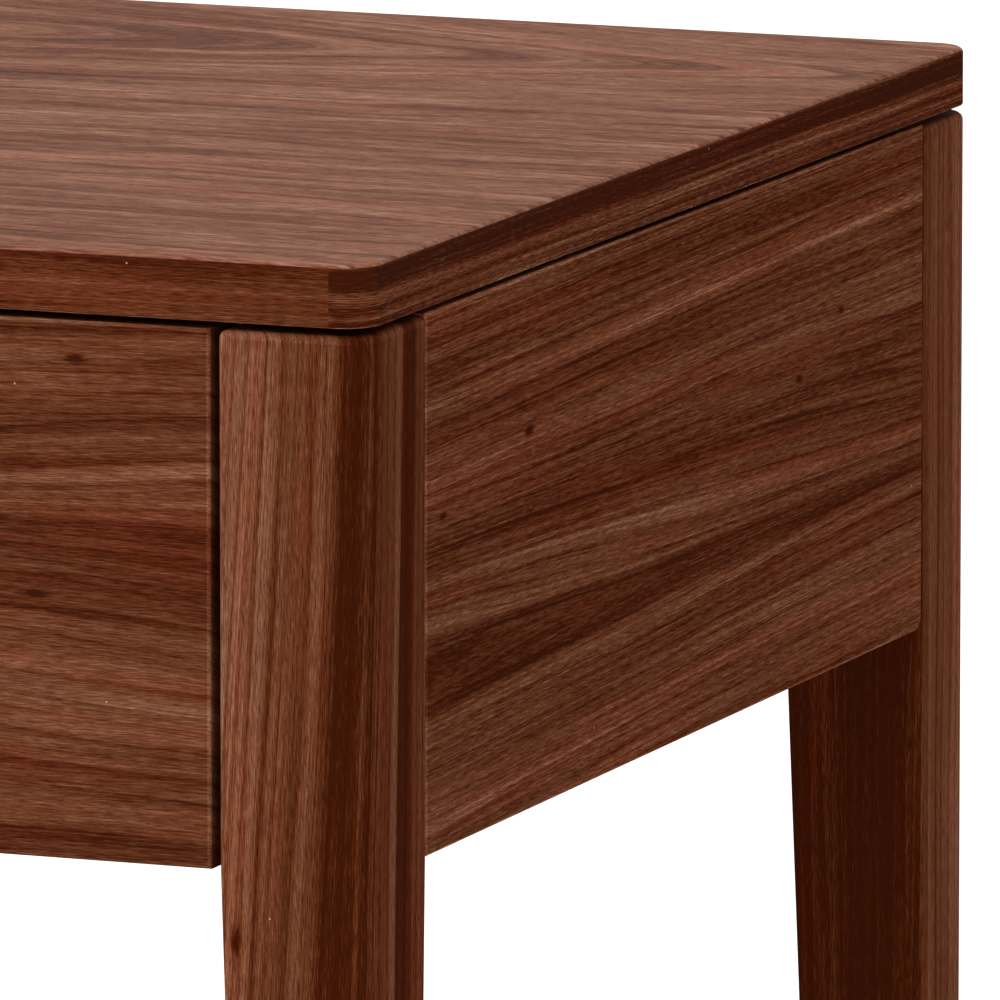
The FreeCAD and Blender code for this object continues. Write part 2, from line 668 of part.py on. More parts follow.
def fastener_nodes():
    """Tenons, dowels, screws and nails, each kind in one node."""
    groups = {
        "loose_tenons": [loose_tenon(centre, run) for centre, run in tenon_places()],
        "rail_dowels": [dowel(place) for place in dowel_places()],
        "top_screws": [pan_screw(seat, Z_AXIS, RAIL_HEIGHT + TOP_SCREW_BITE) for seat in top_screw_seats()],
        "frame_screws": [pan_screw(*screw) for side in (-1, 1) for screw in frame_screws(side)],
        "slide_cabinet_screws": [pan_screw(*screw, SLIDE_SCREW_HEAD_HEIGHT)
                                 for side in (-1, 1) for screw in cabinet_slide_screws(side)],
        "slide_drawer_screws": [pan_screw(*screw, SLIDE_SCREW_HEAD_HEIGHT)
                                for side in (-1, 1) for screw in drawer_slide_screws(side)],
        "drawer_front_screws": [pan_screw(*screw) for screw in front_screws()],
        "glide_nails": [glide_nail(centre) for centre in glide_centres().values()],
    }
    return {name: Part.makeCompound(solids) for name, solids in groups.items()}


def main():
    """Write one STEP file per node."""
    os.makedirs("parts", exist_ok=True)
    nodes = {}
    for group in (frame_nodes(), drawer_nodes(), slide_nodes(), fastener_nodes()):
        nodes.update(group)
    for name, shape in nodes.items():
        if not shape.isValid():
            raise ValueError(name + " is not a valid shape")
        shape.exportStep(os.path.join("parts", name + ".step"))
        print(name, len(shape.Solids), round(shape.Volume / 1000.0, 2), "cm3")
    print(len(nodes), "nodes, slide travel", slide_travel)


main()
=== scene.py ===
import logging
import math
from dataclasses import dataclass, replace
from enum import Enum
from typing import Any, Sequence

import bmesh
import bpy
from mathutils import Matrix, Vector


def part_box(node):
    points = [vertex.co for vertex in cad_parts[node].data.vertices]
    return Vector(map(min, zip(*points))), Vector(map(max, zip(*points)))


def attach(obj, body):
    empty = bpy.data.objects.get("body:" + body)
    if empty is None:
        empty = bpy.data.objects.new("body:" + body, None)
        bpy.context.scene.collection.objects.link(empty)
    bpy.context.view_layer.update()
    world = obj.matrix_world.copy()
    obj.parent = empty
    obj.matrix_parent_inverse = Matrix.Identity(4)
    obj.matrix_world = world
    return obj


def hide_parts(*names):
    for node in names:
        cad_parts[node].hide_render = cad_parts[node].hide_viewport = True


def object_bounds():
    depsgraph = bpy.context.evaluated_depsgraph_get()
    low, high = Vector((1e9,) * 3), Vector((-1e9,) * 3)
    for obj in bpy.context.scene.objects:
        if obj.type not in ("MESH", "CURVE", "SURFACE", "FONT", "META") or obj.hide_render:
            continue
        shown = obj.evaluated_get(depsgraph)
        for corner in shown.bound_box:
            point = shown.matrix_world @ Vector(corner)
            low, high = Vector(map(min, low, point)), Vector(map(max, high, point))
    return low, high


# Walnut side table with one inset drawer on ball-bearing slides.
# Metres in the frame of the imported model: +X right, +Y back, +Z up, origin on the floor.
# Sizes that belong to the maker's drawings are written in millimetres and multiplied by MM.

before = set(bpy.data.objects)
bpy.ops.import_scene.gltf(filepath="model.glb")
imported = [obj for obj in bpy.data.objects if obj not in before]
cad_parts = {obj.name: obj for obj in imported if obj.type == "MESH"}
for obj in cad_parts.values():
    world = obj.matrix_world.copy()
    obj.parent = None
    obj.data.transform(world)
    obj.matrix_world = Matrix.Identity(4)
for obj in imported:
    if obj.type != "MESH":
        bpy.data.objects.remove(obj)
CAD_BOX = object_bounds()

MM = 0.001
SIDES = {"left": -1, "right": 1}
ENDS = {"front": -1, "rear": 1}
EDGE_UV = "edge_run"
# Face attribute that flags narrow rounded edges for a painted highlight, partly sanding wear.
ARRIS_HIGHLIGHT = "arris"
MERGE_DISTANCE = 0.005 * MM
SHARPEST_CORNER = 0.02 * MM
WIDEST_ARRIS = 0.5 * MM
LOG = logging.getLogger("side_table")

Colour = tuple[float, float, float, float]
Point = tuple[float, float]
Stops = Sequence[Point]
Inputs = dict[Any, Any]
Tree = bpy.types.NodeTree
Node = bpy.types.Node
Socket = bpy.types.NodeSocket
Material = bpy.types.Material
Piece = bpy.types.Object
Mesh = bpy.types.Mesh
Shell = bmesh.types.BMesh


# --- Colours and nodes ---
def linear(hex_colour: str) -> Colour:
    """Turn an sRGB hex colour into the linear values that shaders take.

    Args:
        hex_colour: Six hex digits after a hash sign.

    Returns:
        Linear red, green, blue and an alpha of one.
    """
    channels = [int(hex_colour[index:index + 2], 16) / 255.0 for index in (1, 3, 5)]
    values = [c / 12.92 if c <= 0.04045 else ((c + 0.055) / 1.055) ** 2.4 for c in channels]
    return (values[0], values[1], values[2], 1.0)


def add_node(tree: Tree, kind: str, inputs: Inputs | None = None, **settings: Any) -> Node:
    """Add one node with its settings, its fixed values and its links.

    Args:
        tree: Shader or geometry tree that takes the node.
        kind: Node type's identifier.
        inputs: By socket name or number: a value, a socket, or a node whose first output is meant.
        **settings: Properties of the node itself.

    Returns:
        The new node.
    """
    node = tree.nodes.new(kind)
    for key, value in settings.items():
        setattr(node, key, value)
    for key, value in (inputs or {}).items():
        if isinstance(value, Node):
            value = value.outputs[0]
        if isinstance(value, Socket):
            tree.links.new(value, node.inputs[key])
        else:
            node.inputs[key].default_value = value
    return node


class Nodes:
    """A node tree while it is laid out."""

    def __init__(self, tree: Tree) -> None:
        """Start with an empty tree."""
        self.tree = tree
        self.tree.nodes.clear()

    def add(self, kind: str, inputs: Inputs | None = None, **settings: Any) -> Node:
        """Add one node to this tree."""
        return add_node(self.tree, kind, inputs, **settings)

    def math(self, operation: str, *values: Any) -> Node:
        """Add one step of arithmetic on up to three values."""
        return self.add("ShaderNodeMath", dict(enumerate(values)), operation=operation)

    def vector(self, operation: str, *values: Any) -> Node:
        """Add one step of arithmetic on up to three vectors."""
        return self.add("ShaderNodeVectorMath", dict(enumerate(values)), operation=operation)

    def remap(self, value: Any, start: float, end: Any, low: float, high: Any) -> Node:
        """Carry a value from one range over to another, held at its ends."""
        return self.add("ShaderNodeMapRange", dict(enumerate((value, start, end, low, high))))


class Finish(Nodes):
    """A material while its nodes are laid out."""

    def __init__(self, name: str) -> None:
        """Start an empty material of the given name."""
        self.material = bpy.data.materials.new(name)
        self.material.use_nodes = True
        super().__init__(self.material.node_tree)

    def place(self) -> Socket:
        """Place on the piece, in metres."""
        return self.add("ShaderNodeTexCoord").outputs["Object"]

    def place_in_mm(self) -> Node:
        """Place on the piece, in millimetres."""
        return self.vector("MULTIPLY", self.place(), (1 / MM,) * 3)

    def colours(self, at: Any, stops: Sequence[tuple[float, str]]) -> Node:
        """Lay sRGB hex colours along a value.

        Args:
            at: Socket or node that gives the value.
            stops: Pairs of place, from 0 to 1, and hex colour.

        Returns:
            The ramp node.
        """
        return self.ramp(at, [(place, linear(colour)) for place, colour in stops])

    def ramp(self, at: Any, stops: Sequence[tuple[float, Colour]]) -> Node:
        """Lay linear colours along a value from 0 to 1."""
        node = self.add("ShaderNodeValToRGB", {0: at})
        elements = node.color_ramp.elements
        while len(elements) < len(stops):
            elements.new(1.0)
        for element, (place, colour) in zip(elements, stops):
            element.position = place
            element.color = colour
        return node

    def profile(self, at: Any, points: Stops) -> Node:
        """Look a value up on a line through points, held level past its ends.

        Args:
            at: Socket or node that gives the place.
            points: Pairs of place and value, places rising.

        Returns:
            A node whose first output is the value.
        """
        start, end = points[0][0], points[-1][0]
        lowest = min(value for _, value in points)
        spread = (max(value for _, value in points) - lowest) or 1.0
        grey = [((place - start) / (end - start), (value - lowest) / spread) for place, value in points]
        ramp = self.ramp(self.remap(at, start, end, 0.0, 1.0), [(p, (v, v, v, 1.0)) for p, v in grey])
        return self.math("MULTIPLY_ADD", ramp, spread, lowest)

    def blend(self, share: Any, first: Any, second: Any) -> Socket:
        """Mix two colours by the second one's share."""
        return self.add("ShaderNodeMix", {0: share, 6: first, 7: second}, data_type="RGBA").outputs[2]

    def grain_noise(self, board: Node, grain: Sequence[float], seed: float, detail: float = 2.0) -> Socket:
        """Noise whose grains have a size in millimetres along, across and through a board.

        Args:
            board: Node that gives a place on the board in millimetres.
            grain: Size of one grain each way.
            seed: Number that moves the noise to a place of its own.
            detail: Octaves of the noise.

        Returns:
            Socket with values about one half.
        """
        scale = [1.0 / size for size in grain]
        placed = self.vector("MULTIPLY_ADD", board, scale, (seed, -seed, seed * 0.5))
        noise = self.add("ShaderNodeTexNoise", {"Vector": placed, "Scale": 1.0, "Detail": detail})
        return noise.outputs[0]

    def close(self, surface: Inputs, height: Any = None, depth: float = 0.0) -> Material:
        """Finish the material with a Principled surface.

        Args:
            surface: Inputs of the Principled shader.
            height: Socket or node with a height from 0 to 1, or None for a smooth surface.
            depth: What a height of one is worth, in metres.

        Returns:
            The material.
        """
        shader = self.add("ShaderNodeBsdfPrincipled", surface)
        if height is not None:
            bump = self.add("ShaderNodeBump", {"Height": height, "Distance": depth, "Strength": 1.0})
            self.tree.links.new(bump.outputs[0], shader.inputs["Normal"])
        self.add("ShaderNodeOutputMaterial", {"Surface": shader})
        return self.material


# --- Walnut ---
class Run(Enum):
    """Which way a board lies: its axes along, across and through the grain."""

    TOP = (0, 1, 2)
    FRONT = (0, 2, 1)
    SIDE = (1, 2, 0)
    LEG = (2, 0, 1)


@dataclass(frozen=True)
class Knot:
    """Pin knot: its place on the board and its radius, in millimetres."""

    along: float
    across: float
    radius: float = 1.0


@dataclass(frozen=True)
class Walnut:
    """Oiled American walnut, sawn and sanded; gives a warm brown figure with a satin sheen.

    Every size is in millimetres on the board: along, across and through the grain.
    Tones run from 0, heartwood's darkest streaks, to 1, its palest.
    """

    name: str
    run: Run
    origin: tuple[float, float, float]
    streaks: Stops
    slopes: Stops
    banded: bool = False
    signs: tuple[int, int, int] = (1, 1, 1)
    lean: float = 0.35
    pivot: float = 0.0
    reach: float = 260.0
    heart: float | None = None
    heart_depth: float = 12.0
    drift: Stops = ()
    wave_height: float = 0.9
    wave_length: float = 120.0
    ring_spacing: float = 9.0
    ring_depth: float = 0.14
    streak_depth: float = 0.62
    line_spacing: float = 0.55
    line_depth: float = 0.27
    stripe_spacing: float = 1.7
    stripe_depth: float = 0.15
    vein_spacing: float = 3.2
    vein_depth: float = 0.13
    fibre_depth: float = 0.52
    blotch_depth: float = 0.16
    fibre_size: tuple[float, float, float] = (5.0, 0.3, 0.3)
    sheen: float = 0.01
    # How much paler the rounded edges are painted: a painted highlight, partly sanding wear.
    arris_highlight_and_wear: float = 0.22
    fleck_spacing: float = 15.0
    fleck_share: float = 0.10
    knots: tuple[Knot, ...] = ()
    seed: float = 0.0
    tint: float = 0.70

    def build(self) -> Material:
        """Lay out the board's nodes and finish its material."""
        return WalnutNodes(self).build()


class WalnutNodes(Finish):
    """A walnut board's material while its nodes are laid out, with sizes in millimetres."""

    RED = ((0.0, "#3b1204"), (0.14, "#4a1b08"), (0.3, "#592712"), (0.53, "#6b3822"), (0.77, "#824f39"),
           (1.0, "#9c6956"))
    BROWN = ((0.0, "#391304"), (0.14, "#461c09"), (0.3, "#552a15"), (0.53, "#673c26"), (0.77, "#7f533d"),
             (1.0, "#9a6d58"))
    PORE_COLOUR = linear("#2a120a")
    FLECK_COLOUR = linear("#c9a690")
    LINE_LENGTH = 150.0
    STRIPE_LENGTH = 260.0
    BLOTCH_GRAIN = (75.0, 12.0, 1.0)
    TINT_GRAIN = (160.0, 9.0, 1.0)
    VEIN_LENGTH = 210.0
    VEIN_FADE_GRAIN = (50.0, 6.0, 1.0)
    RING_WANDER_GRAIN = (300.0, 21.0, 1.0)
    RING_WANDER = 1.6
    RING_FADE_GRAIN = (60.0, 9.0, 1.0)
    PORE_GRAIN = (3.0, 0.2, 0.2)
    PORE_SHADE = 0.55
    WAVE_SHAPE = 0.7
    RING_LINE = ((0.0, 0.25), (0.08, 0.0), (0.6, 0.12), (0.85, 0.6), (0.95, 1.0), (1.0, 0.25))
    KNOT_PUSH = 1.4
    KNOT_SHADE = -0.75
    RELIEF = 0.05 * MM

    def __init__(self, wood: Walnut) -> None:
        """Work out the place on the board, its knots and its growth rings."""
        super().__init__(wood.name)
        self.wood = wood
        along, across, through = self.board_axes()
        self.board = self.add("ShaderNodeCombineXYZ", {0: along, 1: across, 2: through})
        self.spots = [self.knot_mask(knot) for knot in wood.knots]
        self.level = self.ring_level(along, across, through)
        self.lines = self.add("ShaderNodeCombineXYZ", {0: along, 1: self.level, 2: 0.0})

    def build(self) -> Material:
        """Turn the figure into colour, gloss and relief."""
        tone = self.tone()
        pores = self.remap(self.noise(self.board, self.PORE_GRAIN, 9.1, 1.0), 0.57, 0.70, 0.0, 1.0)
        relief = self.math("MULTIPLY_ADD", tone, 0.35, 0.65)
        surface = {"Base Color": self.colour(tone, pores), "IOR": 1.45,
                   "Roughness": self.math("MULTIPLY_ADD", pores, 0.2, 0.48),
                   "Specular IOR Level": self.wood.sheen}
        return self.close(surface, self.math("SUBTRACT", relief, pores), self.RELIEF)

    def noise(self, place: Node, grain: Sequence[float], offset: float, detail: float = 2.0) -> Socket:
        """Grain noise moved by the board's own seed, and by an offset that keeps its layers apart."""
        return self.grain_noise(place, grain, self.wood.seed + offset, detail)

    def centred(self, noise: Socket, swing: float) -> Node:
        """Noise about zero that swings by half of the given amount each way."""
        return self.math("MULTIPLY_ADD", noise, 2 * swing, -swing)

    def board_axes(self) -> list[Node]:
        """Place along, across and through the board."""
        wood = self.wood
        if wood.banded:
            source = self.add("ShaderNodeUVMap", uv_map=EDGE_UV).outputs[0]
        else:
            source = self.place()
        split = self.add("ShaderNodeSeparateXYZ", {0: source}).outputs
        return [self.math("MULTIPLY_ADD", split[index], sign / MM, -sign * start)
                for index, sign, start in zip(wood.run.value, wood.signs, wood.origin)]

    def knot_mask(self, knot: Knot) -> Node:
        """Soft spot that is 1 at a knot's centre, drawn out along the grain."""
        moved = self.vector("ADD", self.board, (-knot.along, -knot.across, 0.0))
        scaled = self.vector("MULTIPLY", moved, (0.4 / knot.radius, 1.0 / knot.radius, 0.0))
        square = self.vector("DOT_PRODUCT", scaled, scaled).outputs["Value"]
        return self.math("EXPONENT", self.math("MULTIPLY", square, -0.7))

    def ring_level(self, along: Node, across: Node, through: Node) -> Node:
        """Growth-ring coordinate: grain lines run where it is level, and knots push them aside.

        Args:
            along: Place along the grain.
            across: Place across the grain.
            through: Place through the board.

        Returns:
            Node with the coordinate in millimetres.
        """
        wood = self.wood
        width = wood.wave_length * self.WAVE_SHAPE
        wave = self.noise(self.board, (wood.wave_length, width, width), 3.1)
        leaned = self.math("MULTIPLY_ADD", through, wood.lean, across)
        level = self.math("ADD", leaned, self.centred(wave, 2 * wood.wave_height))
        for spot in self.spots:
            level = self.math("MULTIPLY_ADD", spot, self.KNOT_PUSH, level)
        if wood.heart is not None:
            away = self.math("SUBTRACT", level, wood.heart)
            level = self.math("SQRT", self.math("MULTIPLY_ADD", away, away, wood.heart_depth ** 2))
        turn = self.math("MULTIPLY_ADD", along, 1.0 / wood.reach, -wood.pivot / wood.reach)
        rise = self.math("MULTIPLY", self.math("SINE", turn), self.profile(leaned, wood.slopes))
        level = self.math("MULTIPLY_ADD", rise, -wood.reach, level)
        if wood.drift:
            level = self.math("SUBTRACT", level, self.profile(along, wood.drift))
        return level

    def tone(self) -> Node:
        """Lightness of the wood: broad streaks, growth rings, fine lines, fibres, knots, and rounded edges
        painted paler as a painted highlight, partly sanding wear.
        """
        wood = self.wood
        tone = self.math("MULTIPLY_ADD", self.profile(self.level, wood.streaks), wood.streak_depth,
                         0.5 - 0.5 * wood.streak_depth)
        layers = ((self.lines, (self.LINE_LENGTH, wood.line_spacing, 1.0), 3.0, wood.line_depth),
                  (self.lines, (self.STRIPE_LENGTH, wood.stripe_spacing, 1.0), 2.0, wood.stripe_depth),
                  (self.lines, self.BLOTCH_GRAIN, 3.0, wood.blotch_depth),
                  (self.board, wood.fibre_size, 2.0, wood.fibre_depth))
        for index, (place, grain, detail, depth) in enumerate(layers):
            noise = self.noise(place, grain, 7.7 - 1.9 * index, detail)
            tone = self.math("ADD", tone, self.centred(noise, depth))
        # Rounded edges painted paler: a painted highlight, partly sanding wear.
        edge_highlight_and_wear = self.add("ShaderNodeAttribute", attribute_name=ARRIS_HIGHLIGHT).outputs["Fac"]
        tone = self.math("MULTIPLY_ADD", edge_highlight_and_wear, wood.arris_highlight_and_wear, tone)
        for dark in (self.rings(), self.veins()):
            tone = self.math("SUBTRACT", tone, dark)
        for spot in self.spots:
            tone = self.math("MULTIPLY_ADD", spot, self.KNOT_SHADE, tone)
        return self.add("ShaderNodeClamp", {0: tone})

    def veins(self) -> Node:
        """Thin dark lines, unevenly spaced, that come and go along the grain."""
        noise = self.noise(self.lines, (self.VEIN_LENGTH, self.wood.vein_spacing, 1.0), 8.6)
        away = self.math("ABSOLUTE", self.math("SUBTRACT", noise, 0.5))
        width = self.noise(self.lines, self.VEIN_FADE_GRAIN, 0.7)
        return self.remap(away, 0.0, self.remap(width, 0.35, 0.65, 0.004, 0.05), self.wood.vein_depth, 0.0)

    def rings(self) -> Node:
        """Dark latewood line at the end of each year's growth, fading in and out."""
        wander = self.centred(self.noise(self.lines, self.RING_WANDER_GRAIN, 2.2), self.RING_WANDER)
        year = self.math("MULTIPLY_ADD", self.level, 1.0 / self.wood.ring_spacing, wander)
        line = self.profile(self.math("FRACT", year), self.RING_LINE)
        fade = self.noise(self.lines, self.RING_FADE_GRAIN, 4.4)
        return self.math("MULTIPLY", line, self.remap(fade, 0.35, 0.6, 0.25, self.wood.ring_depth * 2))

    def colour(self, tone: Node, pores: Node) -> Socket:
        """Walnut brown for a tone, redder or greyer along the grain, darker in its pores."""
        drift = self.noise(self.lines, self.TINT_GRAIN, 6.3)
        share = self.remap(drift, 0.36, 0.64, 0.0, 2 * self.wood.tint)
        wood = self.blend(share, self.colours(tone, self.RED), self.colours(tone, self.BROWN))
        shade = self.blend(self.math("MULTIPLY", pores, self.PORE_SHADE), wood, self.PORE_COLOUR)
        return self.blend(self.flecks(), shade, self.FLECK_COLOUR)

    def flecks(self) -> Node:
        """Rare pale dots where a pore holds a grain of filler."""
        placed = self.vector("MULTIPLY", self.board, (1.0 / self.wood.fleck_spacing,) * 3)
        cells = self.add("ShaderNodeTexVoronoi", {"Vector": placed, "Scale": 1.0},
                         voronoi_dimensions="2D").outputs
        spot = self.remap(cells["Distance"], 0.014, 0.024, 0.6, 0.0)
        return self.math("MULTIPLY", spot, self.math("LESS_THAN", cells["Color"], self.wood.fleck_share))


@dataclass(frozen=True)
class PlainWood:
    """Planed, unfigured timber such as beech or birch; gives pale wood with fine flecks."""

    name: str
    run: Run
    pale: str
    dark: str
    gloss: float = 0.55
    fleck: tuple[float, float, float] = (2.2, 0.35, 0.35)

    def build(self) -> Material:
        """Lay out the wood's nodes."""
        finish = Finish(self.name)
        split = finish.add("ShaderNodeSeparateXYZ", {0: finish.place()}).outputs
        axes = [finish.math("MULTIPLY", split[index], 1.0 / MM) for index in self.run.value]
        board = finish.add("ShaderNodeCombineXYZ", dict(enumerate(axes)))
        growth = finish.grain_noise(board, (260.0, 7.0, 9.0), 3.0, 3.0)
        flecks = finish.grain_noise(board, self.fleck, 8.0, 1.0)
        tone = finish.remap(finish.math("ADD", growth, flecks), 0.7, 1.3, 0.0, 1.0)
        colour = finish.colours(tone, ((0.0, self.dark), (1.0, self.pale)))
        surface = {"Base Color": colour, "Roughness": self.gloss, "IOR": 1.45}
        return finish.close(surface, flecks, 0.04 * MM)


@dataclass(frozen=True)
class Metal:
    """Plated or polished steel; gives a grey gleam with fine marks along its length."""

    name: str
    bright: str
    dull: str
    gloss: float
    mark: tuple[float, float, float] = (0.5, 30.0, 0.5)
    metallic: float = 0.55

    def build(self) -> Material:
        """Lay out the metal's nodes."""
        finish = Finish(self.name)
        place = finish.place_in_mm()
        marks = finish.grain_noise(place, self.mark, 2.0)
        cloud = finish.grain_noise(place, (14.0, 14.0, 14.0), 5.0)
        surface = {"Base Color": finish.colours(cloud, ((0.3, self.dull), (0.7, self.bright))),
                   "Roughness": finish.math("MULTIPLY_ADD", marks, 0.2, self.gloss - 0.1),
                   "Metallic": self.metallic}
        return finish.close(surface, marks, 0.01 * MM)


@dataclass(frozen=True)
class Moulded:
    """Moulded nylon or rubber; gives a soft, even surface with a fine grain."""

    name: str
    base: str
    light: str
    gloss: float

    def build(self) -> Material:
        """Lay out the plastic's nodes."""
        finish = Finish(self.name)
        grain = finish.grain_noise(finish.place_in_mm(), (0.4, 0.4, 0.4), 1.0)
        colour = finish.colours(grain, ((0.3, self.base), (0.75, self.light)))
        surface = {"Base Color": colour, "Roughness": self.gloss, "IOR": 1.5}
        return finish.close(surface, grain, 0.03 * MM)


# --- The walnut boards, each with the figure that its cut draws ---
# Wide, calm, satin brown board with one soft cathedral towards its back.
TOP_BOARD = Walnut(
    "walnut_top_oiled", Run.TOP, (0.0, 0.0, 580.0),
    streaks=((-40.0, 0.58), (-12.0, 0.68), (-5.0, 0.42), (3.0, 0.67), (13.0, 0.64), (20.0, 0.54),
             (26.0, 0.66), (40.0, 0.61), (55.0, 0.66), (75.0, 0.60), (100.0, 0.68), (130.0, 0.62),
             (165.0, 0.70), (200.0, 0.62), (240.0, 0.68), (300.0, 0.64), (360.0, 0.62), (430.0, 0.68)),
    slopes=((-250.0, 0.14), (-180.0, 0.10), (-60.0, 0.02), (40.0, -0.02), (120.0, -0.20),
            (250.0, -0.30)),
    pivot=120.0, reach=200.0, heart=170.0, wave_height=4.0, wave_length=60.0, ring_spacing=12.0,
    ring_depth=0.09, streak_depth=1.25, line_spacing=0.9, line_depth=0.40, stripe_spacing=3.5,
    stripe_depth=0.16, vein_spacing=12.0, vein_depth=0.16, fibre_size=(6.0, 1.0, 1.0), fibre_depth=0.5,
    blotch_depth=0.42, sheen=0.12, arris_highlight_and_wear=0.0, tint=2.0,
    knots=(Knot(124.0, -18.0, 0.6),), seed=11.0)

# Long-grained strip: a dark line under the upper arris, paler lines below it.
EDGE_BAND = Walnut(
    "walnut_edge_band", Run.TOP, (0.0, 0.0, 0.0), banded=True,
    streaks=((0.0, 0.42), (2.0, 0.24), (3.4, 0.42), (5.5, 0.28), (7.4, 0.50), (9.4, 0.42), (10.8, 0.16),
             (12.6, 0.0), (14.0, 0.04), (15.0, 0.22), (16.4, 0.09), (18.0, 0.36)),
    slopes=((0.0, 0.0), (18.0, 0.0)),
    drift=((0.0, -0.5), (120.0, 0.3), (500.0, -0.6), (800.0, 4.0)),
    wave_height=0.4, wave_length=70.0, ring_spacing=4.0, ring_depth=0.10, streak_depth=1.2,
    line_depth=0.60, stripe_depth=0.45, vein_spacing=2.0, fibre_depth=0.7, arris_highlight_and_wear=0.0,
    sheen=0.02, seed=4.0)

# Plainer strip across the front, darkening towards its upper edge.
FRONT_BAND = replace(
    EDGE_BAND, name="walnut_edge_band_front", drift=(), slopes=((0.0, 0.010), (18.0, -0.005)),
    streaks=((0.0, 0.38), (3.0, 0.45), (6.0, 0.36), (9.0, 0.44), (12.0, 0.37), (15.0, 0.30), (18.0, 0.14)),
    line_depth=0.32, stripe_depth=0.16, fibre_depth=0.58, ring_depth=0.05, vein_depth=0.08, seed=6.0)

# Lively board: slanting dark and pale streaks with a few pin knots.
SIDE_BOARD_RIGHT = Walnut(
    "walnut_side_right", Run.SIDE, (0.0, 404.1, 275.0),
    streaks=((0.0, 0.46), (4.0, 0.58), (7.0, 0.40), (14.0, 0.55), (22.0, 0.56), (28.0, 0.42),
             (31.5, 0.26), (36.0, 0.34), (41.0, 0.50), (45.8, 0.40), (47.0, 0.04), (49.0, 0.16),
             (56.5, 0.20), (58.0, 0.60), (60.0, 0.42), (68.0, 0.44), (70.2, 0.70), (72.4, 0.42),
             (79.0, 0.30), (83.0, 0.20), (90.0, 0.32), (100.0, 0.36), (105.5, 0.46), (107.2, 0.62),
             (109.0, 0.46), (115.0, 0.50), (121.0, 0.24), (128.5, 0.42), (131.0, 0.72), (133.5, 0.42),
             (149.0, 0.26), (156.5, 0.46)),
    slopes=((0.0, 0.035), (30.0, 0.03), (47.0, 0.035), (58.0, -0.02), (70.0, -0.055), (90.0, -0.02),
            (107.0, 0.01), (131.0, 0.021), (156.0, 0.01)),
    knots=(Knot(-125.0, 111.0, 1.1), Knot(133.0, 109.5, 0.6), Knot(-192.0, 96.5, 0.7),
           Knot(97.0, 93.5, 0.7)),
    wave_height=0.35, wave_length=130.0, ring_spacing=6.0, ring_depth=0.06, streak_depth=0.85,
    line_depth=0.46, stripe_depth=0.20, vein_spacing=2.4, vein_depth=0.14, fibre_depth=0.58,
    blotch_depth=0.10, seed=21.0)

# The same wood with quieter, more even streaks.
SIDE_BOARD_LEFT = Walnut(
    "walnut_side_left", Run.SIDE, (0.0, 404.1, -275.0), signs=(-1, 1, -1),
    streaks=((0.0, 0.40), (12.0, 0.55), (26.0, 0.30), (40.0, 0.50), (52.0, 0.20), (56.0, 0.66),
             (66.0, 0.40), (84.0, 0.30), (90.0, 0.76), (94.0, 0.40), (112.0, 0.24), (124.0, 0.56),
             (140.0, 0.34), (156.5, 0.46)),
    slopes=((0.0, -0.02), (50.0, 0.03), (90.0, 0.05), (156.0, 0.0)), seed=33.0,
    knots=(Knot(60.0, 70.0, 1.2),))

# Flat-sawn board with a clear cathedral.
BACK_BOARD = Walnut(
    "walnut_back", Run.FRONT, (0.0, 404.1, 250.0),
    streaks=((0.0, 0.46), (18.0, 0.34), (34.0, 0.58), (52.0, 0.30), (68.0, 0.54), (96.0, 0.36),
             (120.0, 0.50)),
    slopes=((0.0, 0.10), (70.0, 0.16), (156.0, 0.08)), heart=62.0, heart_depth=9.0, pivot=60.0,
    wave_height=2.6, ring_depth=0.22, seed=45.0, knots=(Knot(-90.0, 118.0, 1.4),))

# Level streaks that bend near the right end, with two pin knots.
DRAWER_BOARD = Walnut(
    "walnut_drawer_front", Run.FRONT, (0.0, 405.1, -250.0),
    streaks=((0.0, 0.20), (6.0, 0.34), (12.0, 0.44), (22.0, 0.40), (26.0, 0.28), (29.0, 0.42),
             (38.0, 0.56), (45.0, 0.70), (50.0, 0.56), (58.0, 0.64), (66.0, 0.48), (72.0, 0.30),
             (80.0, 0.26), (90.0, 0.20), (97.5, 0.10), (98.5, 0.55), (104.0, 0.46), (108.0, 0.50),
             (111.5, 0.78), (115.0, 0.36), (122.0, 0.46), (128.0, 0.26), (136.0, 0.50), (150.0, 0.50),
             (153.0, 0.24), (155.0, 0.40)),
    slopes=((0.0, 0.0), (30.0, -0.03), (45.0, -0.08), (65.0, -0.10), (85.0, -0.08), (98.0, 0.0),
            (112.0, 0.10), (130.0, 0.06), (155.0, 0.03)),
    pivot=195.0, reach=90.0, streak_depth=0.72, ring_depth=0.10, sheen=0.03,
    knots=(Knot(186.0, 144.0, 1.0), Knot(174.0, 76.0, 0.8)), seed=57.0)


